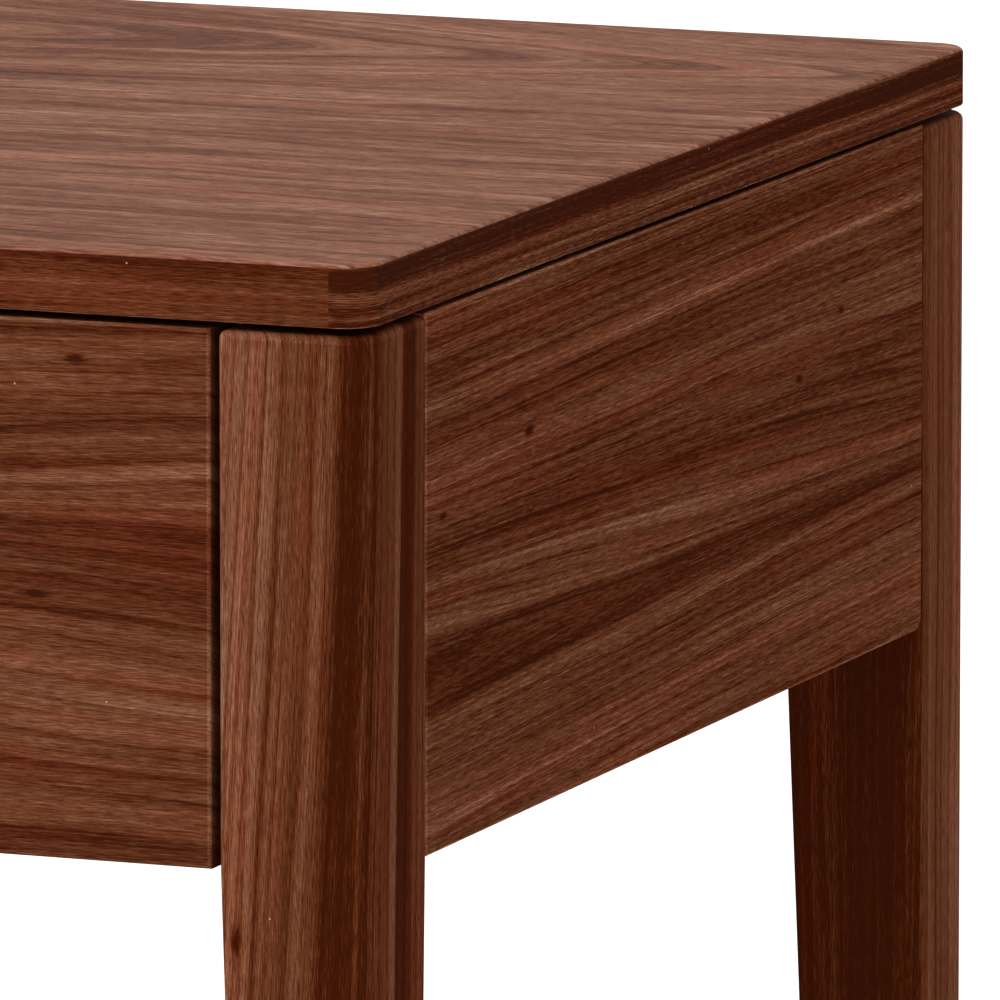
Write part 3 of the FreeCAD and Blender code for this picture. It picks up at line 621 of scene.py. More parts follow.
def leg_board(end: str, side: str) -> Walnut:
    """Figure of one leg, rift sawn so that the same lines turn round its outer corner; the rear right leg's
    inner front face is painted darker as painted shade under the table.

    Args:
        end: "front" or "rear".
        side: "left" or "right".

    Returns:
        The leg's walnut.
    """
    streaks = {
        "front_right": ((0.0, 0.66), (2.3, 0.70), (3.0, 0.56), (3.8, 0.68), (5.4, 0.68), (6.2, 0.54),
                        (7.0, 0.70), (8.6, 0.68), (9.4, 0.53), (10.4, 0.68), (12.8, 0.62), (15.5, 0.36),
                        (17.0, 0.52), (21.0, 0.46), (25.0, 0.39), (27.0, 0.54), (30.5, 0.52), (32.4, 0.32),
                        (35.0, 0.12), (41.0, 0.06), (43.5, 0.16), (46.5, 0.30), (49.5, 0.12), (54.0, 0.34),
                        (64.0, 0.44), (68.5, 0.52), (70.0, 0.12), (77.0, 0.08), (81.0, 0.36), (90.0, 0.42)),
        # Rear right leg: the low tones below zero fall on its inner front face as painted shade under the
        # table; its right face is paler.
        "rear_right": ((-45.0, 0.10), (-41.0, 0.06), (-37.0, 0.24), (-32.0, 0.20), (-27.0, 0.04),
                       (-20.0, 0.0), (-16.0, 0.08), (-11.0, 0.0), (-6.0, 0.18), (-3.0, 0.12),
                       (0.0, 0.26), (3.0, 0.36), (6.0, 0.44), (8.0, 0.54),
                       (14.0, 0.44), (24.0, 0.52), (36.0, 0.62), (45.0, 0.52)),
        "front_left": ((0.0, 0.50), (14.0, 0.34), (24.0, 0.62), (36.0, 0.40), (48.0, 0.18), (60.0, 0.46),
                       (74.0, 0.34), (90.0, 0.52)),
        "rear_left": ((0.0, 0.40), (10.0, 0.58), (26.0, 0.28), (40.0, 0.50), (56.0, 0.30), (70.0, 0.52),
                      (90.0, 0.36))}
    special = {"front_right": {"knots": (Knot(95.0, 52.0, 0.9), Knot(-80.0, 5.0, 1.3))},
               "rear_right": {"lean": -1.0,
                              "slopes": ((-45.0, -0.05), (-8.0, -0.02), (0.0, 0.0), (45.0, 0.01))}}
    name = end + "_" + side
    sign_x, sign_y = SIDES[side], ENDS[end]
    figure_level, inner_x, outer_y = 465.0, 230.0, 250.0
    first_seed, seed_step = 60.0, 7.0
    board = Walnut(
        "walnut_leg_" + name, Run.LEG, (figure_level, sign_x * inner_x, sign_y * outer_y),
        streaks=streaks[name], slopes=((0.0, 0.067), (90.0, 0.03)), signs=(1, sign_x, -sign_y),
        lean=1.0, streak_depth=1.1, reach=400.0, wave_height=0.7, wave_length=150.0, ring_spacing=5.0,
        ring_depth=0.08, line_depth=0.30, stripe_depth=0.10, vein_spacing=2.4, vein_depth=0.10,
        blotch_depth=0.12, arris_highlight_and_wear=0.08 if end == "front" else 0.0,
        seed=first_seed + seed_step * list(streaks).index(name))
    return replace(board, **special.get(name, {}))


# Straight, plain, paler walnut of the drawer box.
BOX_BOARDS = {
    Run.FRONT: Walnut("walnut_box_ends", Run.FRONT, (0.0, 426.0, 0.0),
                      streaks=((0.0, 0.50), (30.0, 0.62), (55.0, 0.44), (80.0, 0.60), (105.0, 0.52)),
                      slopes=((0.0, 0.02), (105.0, -0.02)), seed=81.0),
    Run.SIDE: Walnut("walnut_box_sides", Run.SIDE, (0.0, 426.0, 0.0),
                     streaks=((0.0, 0.54), (24.0, 0.44), (50.0, 0.64), (78.0, 0.48), (105.0, 0.58)),
                     slopes=((0.0, -0.02), (105.0, 0.02)), seed=87.0)}


# --- Meshes ---
def linked(name: str, data: Any) -> Piece:
    """Put a new object with this data into the scene, at the origin."""
    item = bpy.data.objects.new(name, data)
    bpy.context.scene.collection.objects.link(item)
    return item


def written(name: str, shell: Shell, *materials: Material) -> Mesh:
    """Write a working mesh out under a name, with its finishes, and free it."""
    mesh = bpy.data.meshes.new(name)
    shell.to_mesh(mesh)
    shell.free()
    for material in materials:
        mesh.materials.append(material)
    return mesh


def drawn(node: str) -> Shell:
    """Working copy of a drawn piece with its doubles merged."""
    shell = bmesh.new()
    shell.from_mesh(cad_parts[node].data)
    bmesh.ops.remove_doubles(shell, verts=shell.verts, dist=MERGE_DISTANCE)
    return shell


def extent(points: Sequence[Vector]) -> tuple[Vector, Vector]:
    """Lowest and highest corner of the box round some points."""
    low, high = ([pick(point[axis] for point in points) for axis in range(3)] for pick in (min, max))
    return Vector(low), Vector(high)


def outline(low: Point, high: Point, radii: Sequence[float], inset: float, segments: int) -> list[Point]:
    """Rectangle with rounded corners, walked anticlockwise from the low corner.

    Args:
        low: Lowest corner.
        high: Highest corner.
        radii: Corner radii, anticlockwise from the low corner.
        inset: How far the whole outline is drawn in.
        segments: Steps round each corner.

    Returns:
        The outline's points.
    """
    corners = ((low[0], low[1], 1, 1), (high[0], low[1], -1, 1),
               (high[0], high[1], -1, -1), (low[0], high[1], 1, -1))
    points = []
    for index, (x, y, to_x, to_y) in enumerate(corners):
        radius = max(radii[index] - inset, SHARPEST_CORNER)
        centre_x = x + to_x * (inset + radius)
        centre_y = y + to_y * (inset + radius)
        for step in range(segments + 1):
            angle = math.pi + math.pi / 2 * (index + step / segments)
            points.append((centre_x + radius * math.cos(angle), centre_y + radius * math.sin(angle)))
    return points


def round_steps(radius: float, segments: int) -> list[Point]:
    """Inset and depth below the face of each step of a rounded edge, from its side to its face."""
    if radius <= 0.0:
        return [(0.0, 0.0)]
    angles = [math.pi / 2 * step / segments for step in range(segments + 1)]
    return [(radius * (1 - math.cos(a)), radius * (1 - math.sin(a))) for a in angles]


def loft(name: str, rings: Sequence[Sequence[Vector]], *materials: Material) -> Piece:
    """Closed, smooth-shaded skin over rings of equal count, with flat ends.

    Args:
        name: Piece name.
        rings: Rings of points in order.
        *materials: Its finishes, the main one first.

    Returns:
        The piece.
    """
    shell = bmesh.new()
    rows = [[shell.verts.new(point) for point in ring] for ring in rings]
    count = len(rows[0])
    for row, following in zip(rows, rows[1:]):
        for index in range(count):
            turn = (index + 1) % count
            shell.faces.new((row[index], row[turn], following[turn], following[index]))
    shell.faces.new(list(reversed(rows[0])))
    shell.faces.new(rows[-1])
    bmesh.ops.recalc_face_normals(shell, faces=shell.faces)
    for face in shell.faces:
        face.smooth = True
    mesh = written(name, shell, *materials)
    mark_arris_highlights(mesh)
    return level_normals(linked(name, mesh))


def settle(piece: Piece) -> Piece:
    """Apply a piece's modifiers by keeping only the mesh that they give."""
    graph = bpy.context.evaluated_depsgraph_get()
    plain = bpy.data.meshes.new_from_object(piece.evaluated_get(graph), depsgraph=graph)
    piece.modifiers.clear()
    piece.data = plain
    return piece


def mark_arris_highlights(mesh: Mesh) -> None:
    """Flag the narrow faces of rounded edges, which are painted paler: a painted highlight, partly where
    sanding leaves the wood paler.
    """
    flags = mesh.attributes.new(ARRIS_HIGHLIGHT, "FLOAT", "FACE")
    for face in mesh.polygons:
        corners = [mesh.vertices[index].co for index in face.vertices]
        span = min((a - b).length for a, b in zip(corners, corners[1:] + corners[:1]))
        flags.data[face.index].value = float(len(corners) == 4 and span < WIDEST_ARRIS)


def level_normals(piece: Piece) -> Piece:
    """Let large flat faces set the shading, so that rounds blend into truly flat faces."""
    weighted = piece.modifiers.new("flat_faces_first", "WEIGHTED_NORMAL")
    weighted.weight = 100
    weighted.keep_sharp = True
    return settle(piece)


def eased_copy(name: str, node: str, ease: float, material: Material) -> Piece:
    """Copy of a drawn piece with every sharp edge eased.

    Args:
        name: Name of the copy.
        node: Node that it is copied from.
        ease: Width of the eased edge, in metres.
        material: Its finish.

    Returns:
        The copy, at the same place.
    """
    shell = drawn(node)
    bmesh.ops.dissolve_limit(shell, angle_limit=math.radians(1.0), verts=shell.verts, edges=shell.edges)
    for face in shell.faces:
        face.smooth = True
        face.material_index = 0
    piece = linked(name, written(name, shell, material))
    bevel = piece.modifiers.new("eased_edges", "BEVEL")
    bevel.width = ease
    bevel.segments = 2
    bevel.limit_method = "ANGLE"
    bevel.angle_limit = math.radians(35.0)
    bevel.harden_normals = False
    return level_normals(piece)


def install(piece: Piece, body: str, slot: str, *nodes: str) -> None:
    """Fix a piece to its body and hide the plain nodes that it stands for."""
    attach(piece, body)
    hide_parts(*nodes)
    LOG.info("%s: %d faces on %s", piece.name, len(piece.data.polygons), body)


def dress(node: str, material: Material) -> None:
    """Give a drawn piece that stays in view its finish."""
    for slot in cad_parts[node].material_slots:
        slot.material = material
    LOG.info("%s: drawn piece in %s", node, material.name)


@dataclass
class Plate:
    """Board with rounded corners and rounded face edges, its faces square to one axis."""

    node: str
    axis: int
    corner_radii: tuple[float, float, float, float] = (0.0, 0.0, 0.0, 0.0)
    low_round: float = 0.0
    high_round: float = 0.0
    corner_segments: int = 16
    round_segments: int = 6

    def place(self, point: Point, level: float) -> Vector:
        """Point of the board from its place on the face and its level along the axis."""
        values = list(point)
        values.insert(self.axis, level)
        return Vector(values)

    def build(self, name: str, *materials: Material) -> Piece:
        """Skin the board from its low face to its high face.

        Args:
            name: Piece name.
            *materials: Its finishes, the main one first.

        Returns:
            The piece.
        """
        low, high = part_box(self.node)
        flat = [index for index in range(3) if index != self.axis]
        start, end = ((corner[flat[0]], corner[flat[1]]) for corner in (low, high))
        levels = [(inset, low[self.axis] + depth)
                  for inset, depth in reversed(round_steps(self.low_round, self.round_segments))]
        levels += [(inset, high[self.axis] - depth)
                   for inset, depth in round_steps(self.high_round, self.round_segments)]
        rings = [[self.place(point, level) for point in
                  outline(start, end, self.corner_radii, inset, self.corner_segments)]
                 for inset, level in levels]
        return loft(name, rings, *materials)


# --- What repeats ---
@dataclass(frozen=True)
class Fixing:
    """One kind of screw or nail, its sizes in millimetres."""

    length: float
    shank_radius: float
    head_radius: float
    head_height: float


@dataclass(frozen=True)
class Seat:
    """Where a repeated shape stands, and which way its top points."""

    place: Vector
    outward: Vector


def pieces_of(shell: Shell) -> list[list[bmesh.types.BMVert]]:
    """Corners of each separate solid in a working mesh, always in the same order."""
    seen = set()
    groups = []
    for start in shell.verts:
        if start in seen:
            continue
        seen.add(start)
        group = [start]
        for vert in group:
            beside = [edge.other_vert(vert) for edge in vert.link_edges]
            fresh = [other for other in beside if other not in seen]
            seen.update(fresh)
            group.extend(dict.fromkeys(fresh))
        groups.append(group)
    return groups


def measure(points: Sequence[Vector]) -> tuple[Fixing, Seat]:
    """Read a drawn screw's or nail's sizes and place off its points.

    Args:
        points: Points of one solid that lies along a main axis.

    Returns:
        Its kind, with sizes rounded to 0.01 mm, and its seat.
    """
    low, high = extent(points)
    size, centre = high - low, (high + low) / 2
    axis = max(range(3), key=lambda i: size[i])
    line = Vector([float(i == axis) for i in range(3)])
    spans = [((point - centre).dot(line), (point - centre).cross(line).length) for point in points]
    head_radius = max(out for _, out in spans)
    rim = [place for place, out in spans if out > 0.9 * head_radius]
    outward = 1 if sum(rim) > 0 else -1
    under = min(place * outward for place in rim)
    shank_radius = max(out for place, out in spans if place * outward < under - 0.2 * MM)
    half = size[axis] / 2
    sizes = [round(value / MM, 2) for value in (under + half, shank_radius, head_radius, half - under)]
    return Fixing(*sizes), Seat(centre + line * (outward * under), line * outward)


class Growth(Nodes):
    """A geometry tree that sets one shape on points, while it is laid out."""

    def __init__(self, name: str, lengths: Sequence[str]) -> None:
        """Start the tree with its named inputs.

        Args:
            name: Tree's name.
            lengths: Names of its lengths, in millimetres; "Seed" and "Finish" follow.
        """
        super().__init__(bpy.data.node_groups.new(name, "GeometryNodeTree"))
        for way in ("INPUT", "OUTPUT"):
            self.tree.interface.new_socket("Geometry", in_out=way, socket_type="NodeSocketGeometry")
        kinds = {label: "Float" for label in lengths} | {"Seed": "Int", "Finish": "Material"}
        self.sockets = {label: self.new_input(label, kind) for label, kind in kinds.items()}
        self.given = self.add("NodeGroupInput").outputs

    def new_input(self, label: str, kind: str) -> str:
        """Add one named input and return its identifier."""
        socket = self.tree.interface.new_socket(label, in_out="INPUT", socket_type="NodeSocket" + kind)
        return socket.identifier

    def up(self, height: Any) -> Node:
        """Vector that points straight up by a height."""
        return self.add("ShaderNodeCombineXYZ", {2: height})

    def raised(self, mesh: Any, top: Any, height: Any, ratio: Any) -> tuple[Any, Any]:
        """Draw a mesh's top face upwards and scale it.

        Args:
            mesh: Mesh so far.
            top: Selection of its top face.
            height: How far the face goes up.
            ratio: How much wider the face gets.

        Returns:
            The mesh and the selection of its new top face.
        """
        outputs = self.add("GeometryNodeExtrudeMesh",
                           {"Mesh": mesh, "Selection": top, "Offset Scale": height}).outputs
        scaled = self.add("GeometryNodeScaleElements",
                          {"Geometry": outputs["Mesh"], "Selection": outputs["Top"], "Scale": ratio})
        return scaled.outputs[0], outputs["Top"]

    def finish(self, shape: Any, spin: float) -> None:
        """Set a shape drawn in millimetres on every point, realise it and give it its material.

        Args:
            shape: Shape whose +Z turns to each point's "outward".
            spin: Largest random turn about that direction, in radians.
        """
        outward = self.add("GeometryNodeInputNamedAttribute", {"Name": "outward"}, data_type="FLOAT_VECTOR")
        turn = self.add("FunctionNodeAlignRotationToVector", {"Vector": outward.outputs[0]}, axis="Z")
        placed = self.add("GeometryNodeInstanceOnPoints",
                          {"Points": self.given["Geometry"], "Instance": shape, "Rotation": turn,
                           "Scale": (MM, MM, MM)})
        chance = self.add("FunctionNodeRandomValue", {"Seed": self.given["Seed"]}, data_type="FLOAT")
        about = self.up(self.math("MULTIPLY", chance.outputs[1], spin))
        spun = self.add("GeometryNodeRotateInstances", {"Instances": placed, "Rotation": about})
        plain = self.add("GeometryNodeRealizeInstances", {0: spun})
        painted = self.add("GeometryNodeSetMaterial", {"Geometry": plain, "Material": self.given["Finish"]})
        self.add("NodeGroupOutput", {0: painted})

    def grow(self, name: str, seats: Sequence[Seat], values: dict[str, Any]) -> Mesh:
        """Run the tree over seats and keep the plain mesh.

        Args:
            name: Name of the result.
            seats: Places for the shape.
            values: Inputs by name.

        Returns:
            The mesh, with no modifier left.
        """
        points = bpy.data.meshes.new(name)
        points.from_pydata([seat.place for seat in seats], [], [])
        outward = points.attributes.new("outward", "FLOAT_VECTOR", "POINT")
        for index, seat in enumerate(seats):
            outward.data[index].vector = seat.outward
        carrier = linked(name, points)
        modifier = carrier.modifiers.new(name, "NODES")
        modifier.node_group = self.tree
        for label, value in values.items():
            modifier[self.sockets[label]] = value
        mesh = settle(carrier).data
        bpy.data.objects.remove(carrier)
        return mesh


class ScrewGrowth(Growth):
    """Pan-head screws or nails: tip, shank, flange, rounded head and cross recess."""

    SIDES_ROUND = 24
    ROUND_SHARE = 0.6
    ROUND_STEPS = 3
    TIP_SHARE = 0.25

    def __init__(self) -> None:
        """Lay out the tree."""
        super().__init__("pan_head_screw", ("Length", "Shank Radius", "Head Radius", "Head Height",
                                            "Recess Length", "Recess Width", "Recess Depth"))
        self.sockets["Recessed"] = self.new_input("Recessed", "Bool")
        solid = self.solid()
        shape = self.add("GeometryNodeSwitch", {"Switch": self.given["Recessed"], "False": solid,
                                                "True": self.recessed(solid)}, input_type="GEOMETRY")
        smooth = self.add("GeometryNodeSetShadeSmooth", {"Geometry": shape, "Shade Smooth": True})
        bend = self.add("GeometryNodeInputMeshEdgeAngle")
        sharp = self.math("GREATER_THAN", bend.outputs[0], math.radians(40.0))
        edged = self.add("GeometryNodeSetShadeSmooth",
                         {"Geometry": smooth, "Selection": sharp, "Shade Smooth": False}, domain="EDGE")
        down = self.up(self.math("MULTIPLY", self.given["Length"], -1.0))
        seated = self.add("GeometryNodeTransform", {"Geometry": edged, "Translation": down})
        self.finish(seated, math.pi / 2)

    def solid(self) -> Socket:
        """Screw without its recess, drawn up from its tip."""
        shank, head = self.given["Shank Radius"], self.given["Head Radius"]
        height = self.given["Head Height"]
        tip = self.add("GeometryNodeMeshCone",
                       {"Vertices": self.SIDES_ROUND, "Radius Top": shank, "Depth": shank,
                        "Radius Bottom": self.math("MULTIPLY", shank, self.TIP_SHARE)}).outputs
        straight = self.math("SUBTRACT", self.given["Length"], shank)
        mesh, top = self.raised(tip["Mesh"], tip["Top"], straight, 1.0)
        mesh, top = self.raised(mesh, top, 0.0, self.math("DIVIDE", head, shank))
        mesh, top = self.raised(mesh, top, self.math("MULTIPLY", height, 1 - self.ROUND_SHARE), 1.0)
        radius = head
        for step in range(self.ROUND_STEPS):
            start, end = (math.pi / 2 * (step + k) / self.ROUND_STEPS for k in (0, 1))
            rise = self.math("MULTIPLY", height, self.ROUND_SHARE * (math.sin(end) - math.sin(start)))
            inward = -self.ROUND_SHARE * (math.cos(start) - math.cos(end))
            narrower = self.math("MULTIPLY_ADD", height, inward, radius)
            mesh, top = self.raised(mesh, top, rise, self.math("DIVIDE", narrower, radius))
            radius = narrower
        return mesh

    def recessed(self, mesh: Socket) -> Socket:
        """Cut a cross recess into the top of a screw."""
        at_top = self.up(self.math("ADD", self.given["Length"], self.given["Head Height"]))
        size = self.add("ShaderNodeCombineXYZ",
                        {0: self.given["Recess Length"], 1: self.given["Recess Width"],
                         2: self.math("MULTIPLY", self.given["Recess Depth"], 2.0)})
        bar = self.add("GeometryNodeMeshCube", {"Size": size})
        for turn in (0.0, math.pi / 2):
            placed = self.add("GeometryNodeTransform", {"Geometry": bar.outputs[0], "Translation": at_top,
                                                        "Rotation": (0.0, 0.0, turn)})
            mesh = self.add("GeometryNodeMeshBoolean", {"Mesh 1": mesh, "Mesh 2": placed},
                            operation="DIFFERENCE", solver="EXACT").outputs[0]
        return mesh


class BallGrowth(Growth):
    """Bearing balls."""

    def __init__(self) -> None:
        """Lay out the tree."""
        super().__init__("bearing_balls", ("Radius",))
        ball = self.add("GeometryNodeMeshIcoSphere", {"Radius": self.given["Radius"], "Subdivisions": 3})
        smooth = self.add("GeometryNodeSetShadeSmooth", {"Geometry": ball.outputs[0], "Shade Smooth": True})
        self.finish(smooth, math.pi)


def joined(name: str, meshes: Sequence[Mesh], material: Material) -> Piece:
    """One piece out of several meshes of one finish."""
    shell = bmesh.new()
    for part in meshes:
        shell.from_mesh(part)
    for face in shell.faces:
        face.material_index = 0
    return linked(name, written(name, shell, material))


@dataclass
class ScrewSet:
    """Screws and nails of one body, set where the drawn ones are; thin nails have no recess."""

    name: str
    body: str
    nodes: tuple[str, ...]
    material: Material
    seed: int = 7
    nail_radius: float = 1.5
    recess_length: float = 4.4
    recess_width: float = 0.9
    recess_depth: float = 1.1

    def build(self) -> None:
        """Run the screw tree once for each kind and join the results."""
        kinds: dict[Fixing, list[Seat]] = {}
        for node in self.nodes:
            shell = drawn(node)
            for group in pieces_of(shell):
                kind, seat = measure([vert.co.copy() for vert in group])
                kinds.setdefault(kind, []).append(seat)
            shell.free()
        growth = ScrewGrowth()
        meshes = []
        for number, (kind, seats) in enumerate(kinds.items()):
            values = {"Length": kind.length, "Shank Radius": kind.shank_radius,
                      "Head Radius": kind.head_radius, "Head Height": kind.head_height,
                      "Recess Length": self.recess_length, "Recess Width": self.recess_width,
                      "Recess Depth": self.recess_depth, "Recessed": kind.shank_radius > self.nail_radius,
                      "Seed": self.seed + number, "Finish": self.material}
            meshes.append(growth.grow(self.name, seats, values))
            LOG.info("%s: %d of %.1f mm", self.name, len(seats), kind.length)
        install(joined(self.name, meshes, self.material), self.body, "screw_steel", *self.nodes)


@dataclass
class BallCages:
    """Cages of one kind on both sides: drawn strips with balls grown in their pockets."""

    kind: str
    material: Material
    shortest_strip: float = 20.0 * MM
    seed: int = 3

    def build(self) -> None:
        """Keep the strips, put grown balls in place of the drawn ones and join them."""
        nodes = ["slide_cage_" + self.kind + "_" + side for side in SIDES]
        seats, strips = [], []
        radius = 0.0
        for node in nodes:
            shell = drawn(node)
            for group in pieces_of(shell):
                low, high = extent([vert.co.copy() for vert in group])
                if (high - low).y < self.shortest_strip:
                    seats.append(Seat((low + high) / 2, Vector((0.0, 0.0, 1.0))))
                    radius = (high - low).y / 2
                    bmesh.ops.delete(shell, geom=group, context="VERTS")
            strips.append(written(node + "_strips", shell))
        values = {"Radius": round(radius / MM, 2), "Seed": self.seed, "Finish": self.material}
        balls = BallGrowth().grow("balls", seats, values)
        piece = joined("ball_cages_" + self.kind, strips + [balls], self.material)
        install(piece, "slide_cages_" + self.kind, "bearing_steel", *nodes)


# --- The table ---
@dataclass
class TableTop:
    """Slab of the table: figured face, one band of long grain across its front and one round the rest."""

    corner_radius: float = 11.5 * MM
    upper_round: float = 1.8 * MM
    lower_round: float = 0.7 * MM
    band_limit: float = 0.6
    seam: float = 0.1 * MM

    def build(self) -> None:
        """Build the slab and band its edges."""
        radii = (self.corner_radius,) * 4
        plate = Plate("table_top", 2, radii, self.lower_round, self.upper_round, 20, 8)
        piece = plate.build("walnut_top", TOP_BOARD.build(), EDGE_BAND.build(), FRONT_BAND.build())
        self.band_edges(piece.data)
        install(piece, "table", "walnut", "table_top")

    def perimeter(self, x: float, y: float, half_x: float, half_y: float) -> float:
        """Distance round the slab's edge from its front right corner, towards the back.

        Args:
            x: Place left to right.
            y: Place front to back.
            half_x: Half of the slab's width.
            half_y: Half of its depth.

        Returns:
            Distance in metres, negative along the front edge.
        """
        if abs(x) / half_x > abs(y) / half_y:
            run = y + half_y
            return run if x > 0 else 2 * (half_x + half_y) + half_y - y
        return x - half_x if y < 0 else 2 * half_y + half_x - x

    def band_edges(self, mesh: Mesh) -> None:
        """Give the edges their own finish and a map that runs round them."""
        low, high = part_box("table_top")
        layer = mesh.uv_layers.new(name=EDGE_UV)
        for face in mesh.polygons:
            if abs(face.normal.z) > self.band_limit:
                continue
            runs = []
            for loop in face.loop_indices:
                point = mesh.vertices[mesh.loops[loop].vertex_index].co
                run = self.perimeter(point.x, point.y, high[0], high[1])
                layer.data[loop].uv = (run, point.z - low[2])
                runs.append(run)
            face.material_index = 2 if max(runs) < self.seam - self.corner_radius else 1


@dataclass
class Leg:
    """Square leg, rounded on its outer corner, its two inner faces tapering to the foot."""

    end: str
    side: str
    size: float = 45.0 * MM
    foot_size: float = 33.0 * MM
    corner_radius: float = 11.5 * MM
    arris: float = 1.2 * MM
    top_round: float = 2.4 * MM
    foot_chamfer: float = 1.0 * MM
    segments: int = 18
    round_segments: int = 8

    def section(self, size: float, inset: float, level: float) -> list[Vector]:
        """Section of the front right leg at one level, flipped to this leg's corner."""
        outer = CAD_BOX[1]
        start = (outer[0] - size, -outer[1])
        end = (outer[0], size - outer[1])
        radii = (self.arris, self.corner_radius, self.arris, self.arris)
        flip_x, flip_y = SIDES[self.side], -ENDS[self.end]
        return [Vector((x * flip_x, y * flip_y, level))
                for x, y in outline(start, end, radii, inset, self.segments)]

    def build(self) -> None:
        """Skin the leg from its foot up and dress it."""
        node = "leg_" + self.end + "_" + self.side
        low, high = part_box(node)
        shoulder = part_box("back_panel")[0][2]
        slant = (self.size - self.foot_size) / (shoulder - low[2])
        rings = [self.section(self.foot_size, self.foot_chamfer, low[2]),
                 self.section(self.foot_size + slant * self.foot_chamfer, 0.0, low[2] + self.foot_chamfer),
                 self.section(self.size, 0.0, shoulder)]
        rings += [self.section(self.size, inset, high[2] - depth)
                  for inset, depth in round_steps(self.top_round, self.round_segments)]
        piece = loft("walnut_" + node, rings, leg_board(self.end, self.side).build())
        install(piece, "table", "walnut", node)


@dataclass
class Apron:
    """The three apron panels between the legs."""

    arris: float = 0.8 * MM
    rear_corner: float = 4.5 * MM

    def build(self) -> None:
        """Build and dress the side panels and the back panel."""
        radii = (0.0, self.rear_corner, 0.0, 0.0)
        panels = ((Plate("side_panel_left", 0, radii, low_round=self.arris), SIDE_BOARD_LEFT),
                  (Plate("side_panel_right", 0, radii, high_round=self.arris), SIDE_BOARD_RIGHT),
                  (Plate("back_panel", 1, high_round=self.arris), BACK_BOARD))
        for plate, board in panels:
            install(plate.build("walnut_" + plate.node, board.build()), "table", "walnut", plate.node)


@dataclass
class Carcase:
    """Hidden rails, cleats, packers, joinery and feet of the table."""

    ease: float = 0.6 * MM

    def build(self) -> None:
        """Build the timber parts with eased edges and dress the rest."""
        across = PlainWood("beech_rail_planed", Run.TOP, "#c99f72", "#b4875a").build()
        deep = PlainWood("beech_cleat_planed", Run.SIDE, "#c99f72", "#b4875a").build()
        timber = [("front_top_rail", across), ("rear_top_rail", across)]
        timber += [(kind + "_" + side, deep) for kind in ("top_cleat", "slide_packer") for side in SIDES]
        for node, material in timber:
            install(eased_copy("beech_" + node, node, self.ease, material), "table", "hidden_beech", node)
        tenon = PlainWood("beech_tenon_rough", Run.TOP, "#cda678", "#b98d61", 0.7).build()
        for node in ("loose_tenons", "rail_dowels"):
            dress(node, tenon)
        nylon = Moulded("nylon_glide_moulded", "#3a2417", "#4c3122", 0.45).build()
        for end in ENDS:
            for side in SIDES:
                dress("foot_glide_" + end + "_" + side, nylon)


# --- The drawer ---
@dataclass
class DrawerFront:
    """Inset front with eased outer edges and a finger bevel behind its lower edge."""

    arris: float = 1.0 * MM
    grip_bevel: float = 8.0 * MM
    round_segments: int = 6

    def build(self) -> None:
        """Skin the front from its outer face to its back and dress it."""
        low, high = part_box("drawer_front")
        sharp = (0.0, 0.0, 0.0, 0.0)

        def ring(inset: float, level: float, bottom: float) -> list[Vector]:
            """Outline of the front at one depth."""
            points = outline((low[0], bottom), (high[0], high[2]), sharp, inset, 2)
            return [Vector((x, level, z)) for x, z in points]

        rings = [ring(inset, low[1] + depth, low[2])
                 for inset, depth in reversed(round_steps(self.arris, self.round_segments))]
        rings.append(ring(0.0, high[1] - self.grip_bevel, low[2]))
        rings.append(ring(0.0, high[1], low[2] + self.grip_bevel))
        piece = loft("walnut_drawer_front", rings, DRAWER_BOARD.build())
        install(piece, "drawer", "walnut", "drawer_front")


@dataclass
class DrawerBox:
    """Dovetailed walnut box with a birch plywood bottom."""

    ease: float = 0.35 * MM

    def build(self) -> None:
        """Build the boards with eased edges and dress the bottom."""
        ends, sides = BOX_BOARDS[Run.FRONT].build(), BOX_BOARDS[Run.SIDE].build()
        boards = [("drawer_box_front", ends), ("drawer_box_back", ends)]
        boards += [("drawer_side_" + side, sides) for side in SIDES]
        for node, material in boards:
            install(eased_copy("oiled_" + node, node, self.ease, material), "drawer", "drawer_walnut", node)
        ply = PlainWood("birch_plywood_lacquered", Run.TOP, "#d8bd92", "#c4a273", 0.4).build()
        dress("drawer_bottom", ply)


@dataclass
class Slides:
    """Zinc-plated ball-bearing slides on both sides of the drawer."""

    def build(self) -> None:
        """Dress the members and buffers, and build the cages and screws."""
        zinc = Metal("zinc_plated_steel", "#b9bcc0", "#a2a6ab", 0.32).build()
        bearing = Metal("bearing_steel_polished", "#dcdcdc", "#c4c4c4", 0.2).build()
        rubber = Moulded("buffer_rubber_moulded", "#161616", "#242424", 0.75).build()
        screw = Metal("zinc_screw_steel", "#b3aea0", "#98958a", 0.3, (0.6, 0.6, 0.6)).build()
        for side in SIDES:
            for member in ("outer", "middle", "inner"):
                dress("slide_" + member + "_" + side, zinc)
            dress("slide_buffer_" + side, rubber)
        for cage in ("outer", "inner"):
            BallCages(cage, bearing).build()
        kinds = {"table": ("top_screws", "frame_screws", "slide_cabinet_screws", "glide_nails"),
                 "drawer": ("slide_drawer_screws", "drawer_front_screws")}
        for body, nodes in kinds.items():
            ScrewSet("screws_" + body, body, nodes, screw).build()


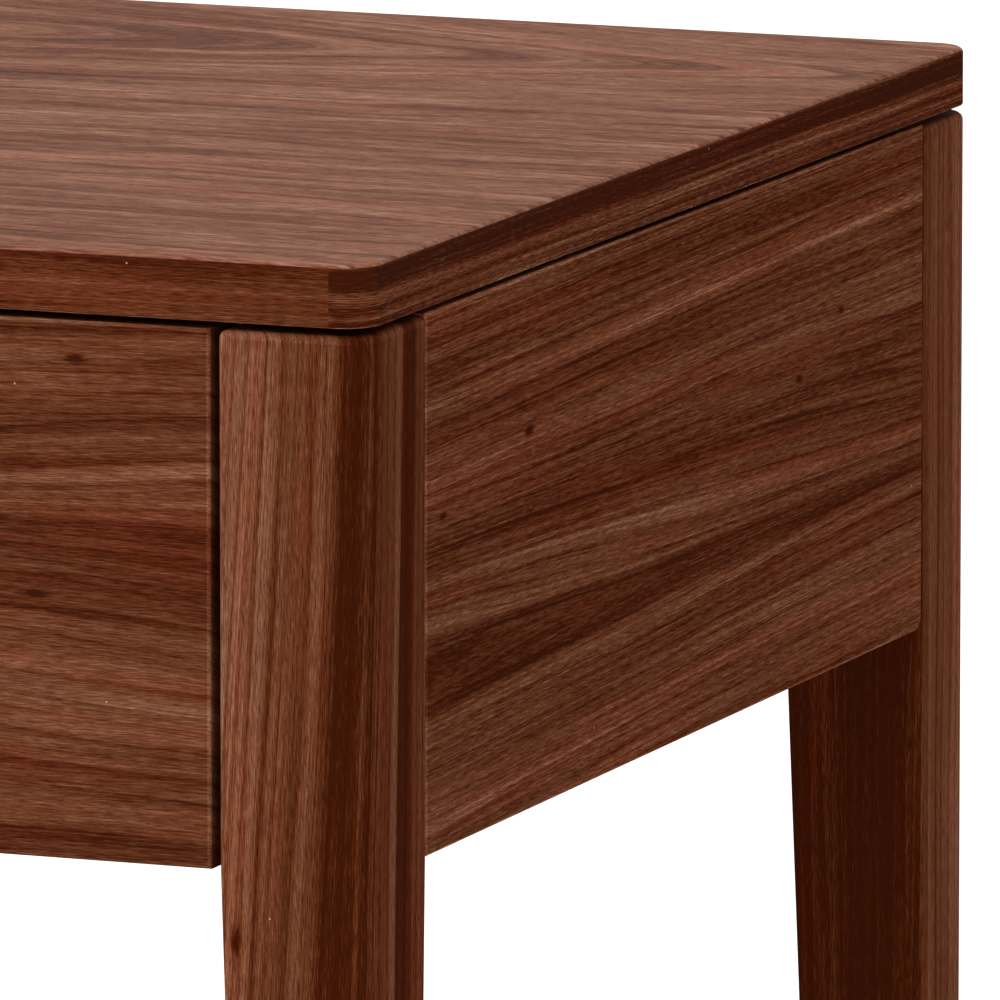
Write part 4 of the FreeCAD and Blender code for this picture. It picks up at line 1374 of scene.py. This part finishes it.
# --- Floor, light and camera ---
@dataclass
class Studio:
    """Plain pale floor, soft light and the camera."""

    floor_half: float = 150.0
    sky_strength: float = 0.42
    azimuth: float = math.radians(21.553)
    elevation: float = math.radians(9.37)
    distance: float = 4.542
    lens: float = 583.0
    aim_offset: Vector = Vector((0.0377, 0.0066, -0.0467))

    def build(self) -> None:
        """Set up everything round the table."""
        self.floor()
        self.world()
        self.sun("overhead_light", (12.0, -10.0), 3.1, 70.0)
        self.sun("front_light", (62.0, -28.0), 0.36, 60.0)
        self.sun("side_light", (20.0, 65.0), 0.38, 60.0)
        self.camera()

    def floor(self) -> None:
        """Lay the floor a hair under the table's glides."""
        size = self.floor_half
        corners = [(-size, -size, 0), (size, -size, 0), (size, size, 0), (-size, size, 0)]
        mesh = bpy.data.meshes.new("floor")
        mesh.from_pydata(corners, [], [(0, 1, 2, 3)])
        paint = Finish("studio_floor_paint")
        mesh.materials.append(paint.close({"Base Color": linear("#f4f3f1"), "Roughness": 0.9}))
        floor = linked("floor", mesh)
        floor.visible_glossy = False

    def world(self) -> None:
        """Light the room evenly from above, dark below, and show it white."""
        world = bpy.data.worlds.new("studio")
        world.use_nodes = True
        nodes = Nodes(world.node_tree)
        direction = nodes.add("ShaderNodeSeparateXYZ", {0: nodes.add("ShaderNodeTexCoord")})
        upward = nodes.remap(direction.outputs["Z"], -0.06, 0.02, 0.0, self.sky_strength)
        seen = nodes.add("ShaderNodeLightPath").outputs["Is Camera Ray"]
        back = nodes.add("ShaderNodeBackground", {"Color": linear("#ffffff"),
                                                  "Strength": nodes.math("MAXIMUM", upward, seen)})
        nodes.add("ShaderNodeOutputWorld", {"Surface": back})
        bpy.context.scene.world = world
        bpy.context.scene.view_settings.view_transform = "Standard"

    def sun(self, name: str, tilt: tuple[float, float], strength: float, spread: float) -> None:
        """Add a wide, soft light from far away.

        Args:
            name: Light's name.
            tilt: Turn about X and about Y from straight overhead, in degrees.
            strength: Irradiance, in watts per square metre.
            spread: Width that the light appears to have, in degrees.
        """
        light = bpy.data.lights.new(name, "SUN")
        light.energy = strength
        light.angle = math.radians(spread)
        linked(name, light).rotation_euler = (math.radians(tilt[0]), math.radians(tilt[1]), 0.0)

    def camera(self) -> None:
        """Aim a long lens at the near corner of the table."""
        corner = Vector((CAD_BOX[1][0], CAD_BOX[0][1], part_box("table_top")[0][2]))
        level = math.cos(self.elevation)
        ahead = Vector((-math.sin(self.azimuth) * level, math.cos(self.azimuth) * level,
                        -math.sin(self.elevation)))
        camera = linked("camera", bpy.data.cameras.new("camera"))
        camera.data.lens = self.lens
        camera.data.sensor_width = 36.0
        camera.data.clip_end = 400.0
        camera.location = corner + self.aim_offset - ahead * self.distance
        camera.rotation_euler = ahead.to_track_quat("-Z", "Y").to_euler()
        bpy.context.scene.camera = camera


def main() -> None:
    """Build the table piece by piece, then the studio round it."""
    logging.basicConfig(level=logging.INFO, format="%(message)s")
    TableTop().build()
    for end in ENDS:
        for side in SIDES:
            Leg(end, side).build()
    Apron().build()
    Carcase().build()
    DrawerFront().build()
    DrawerBox().build()
    Slides().build()
    Studio().build()


if __name__ == "__main__":
    main()
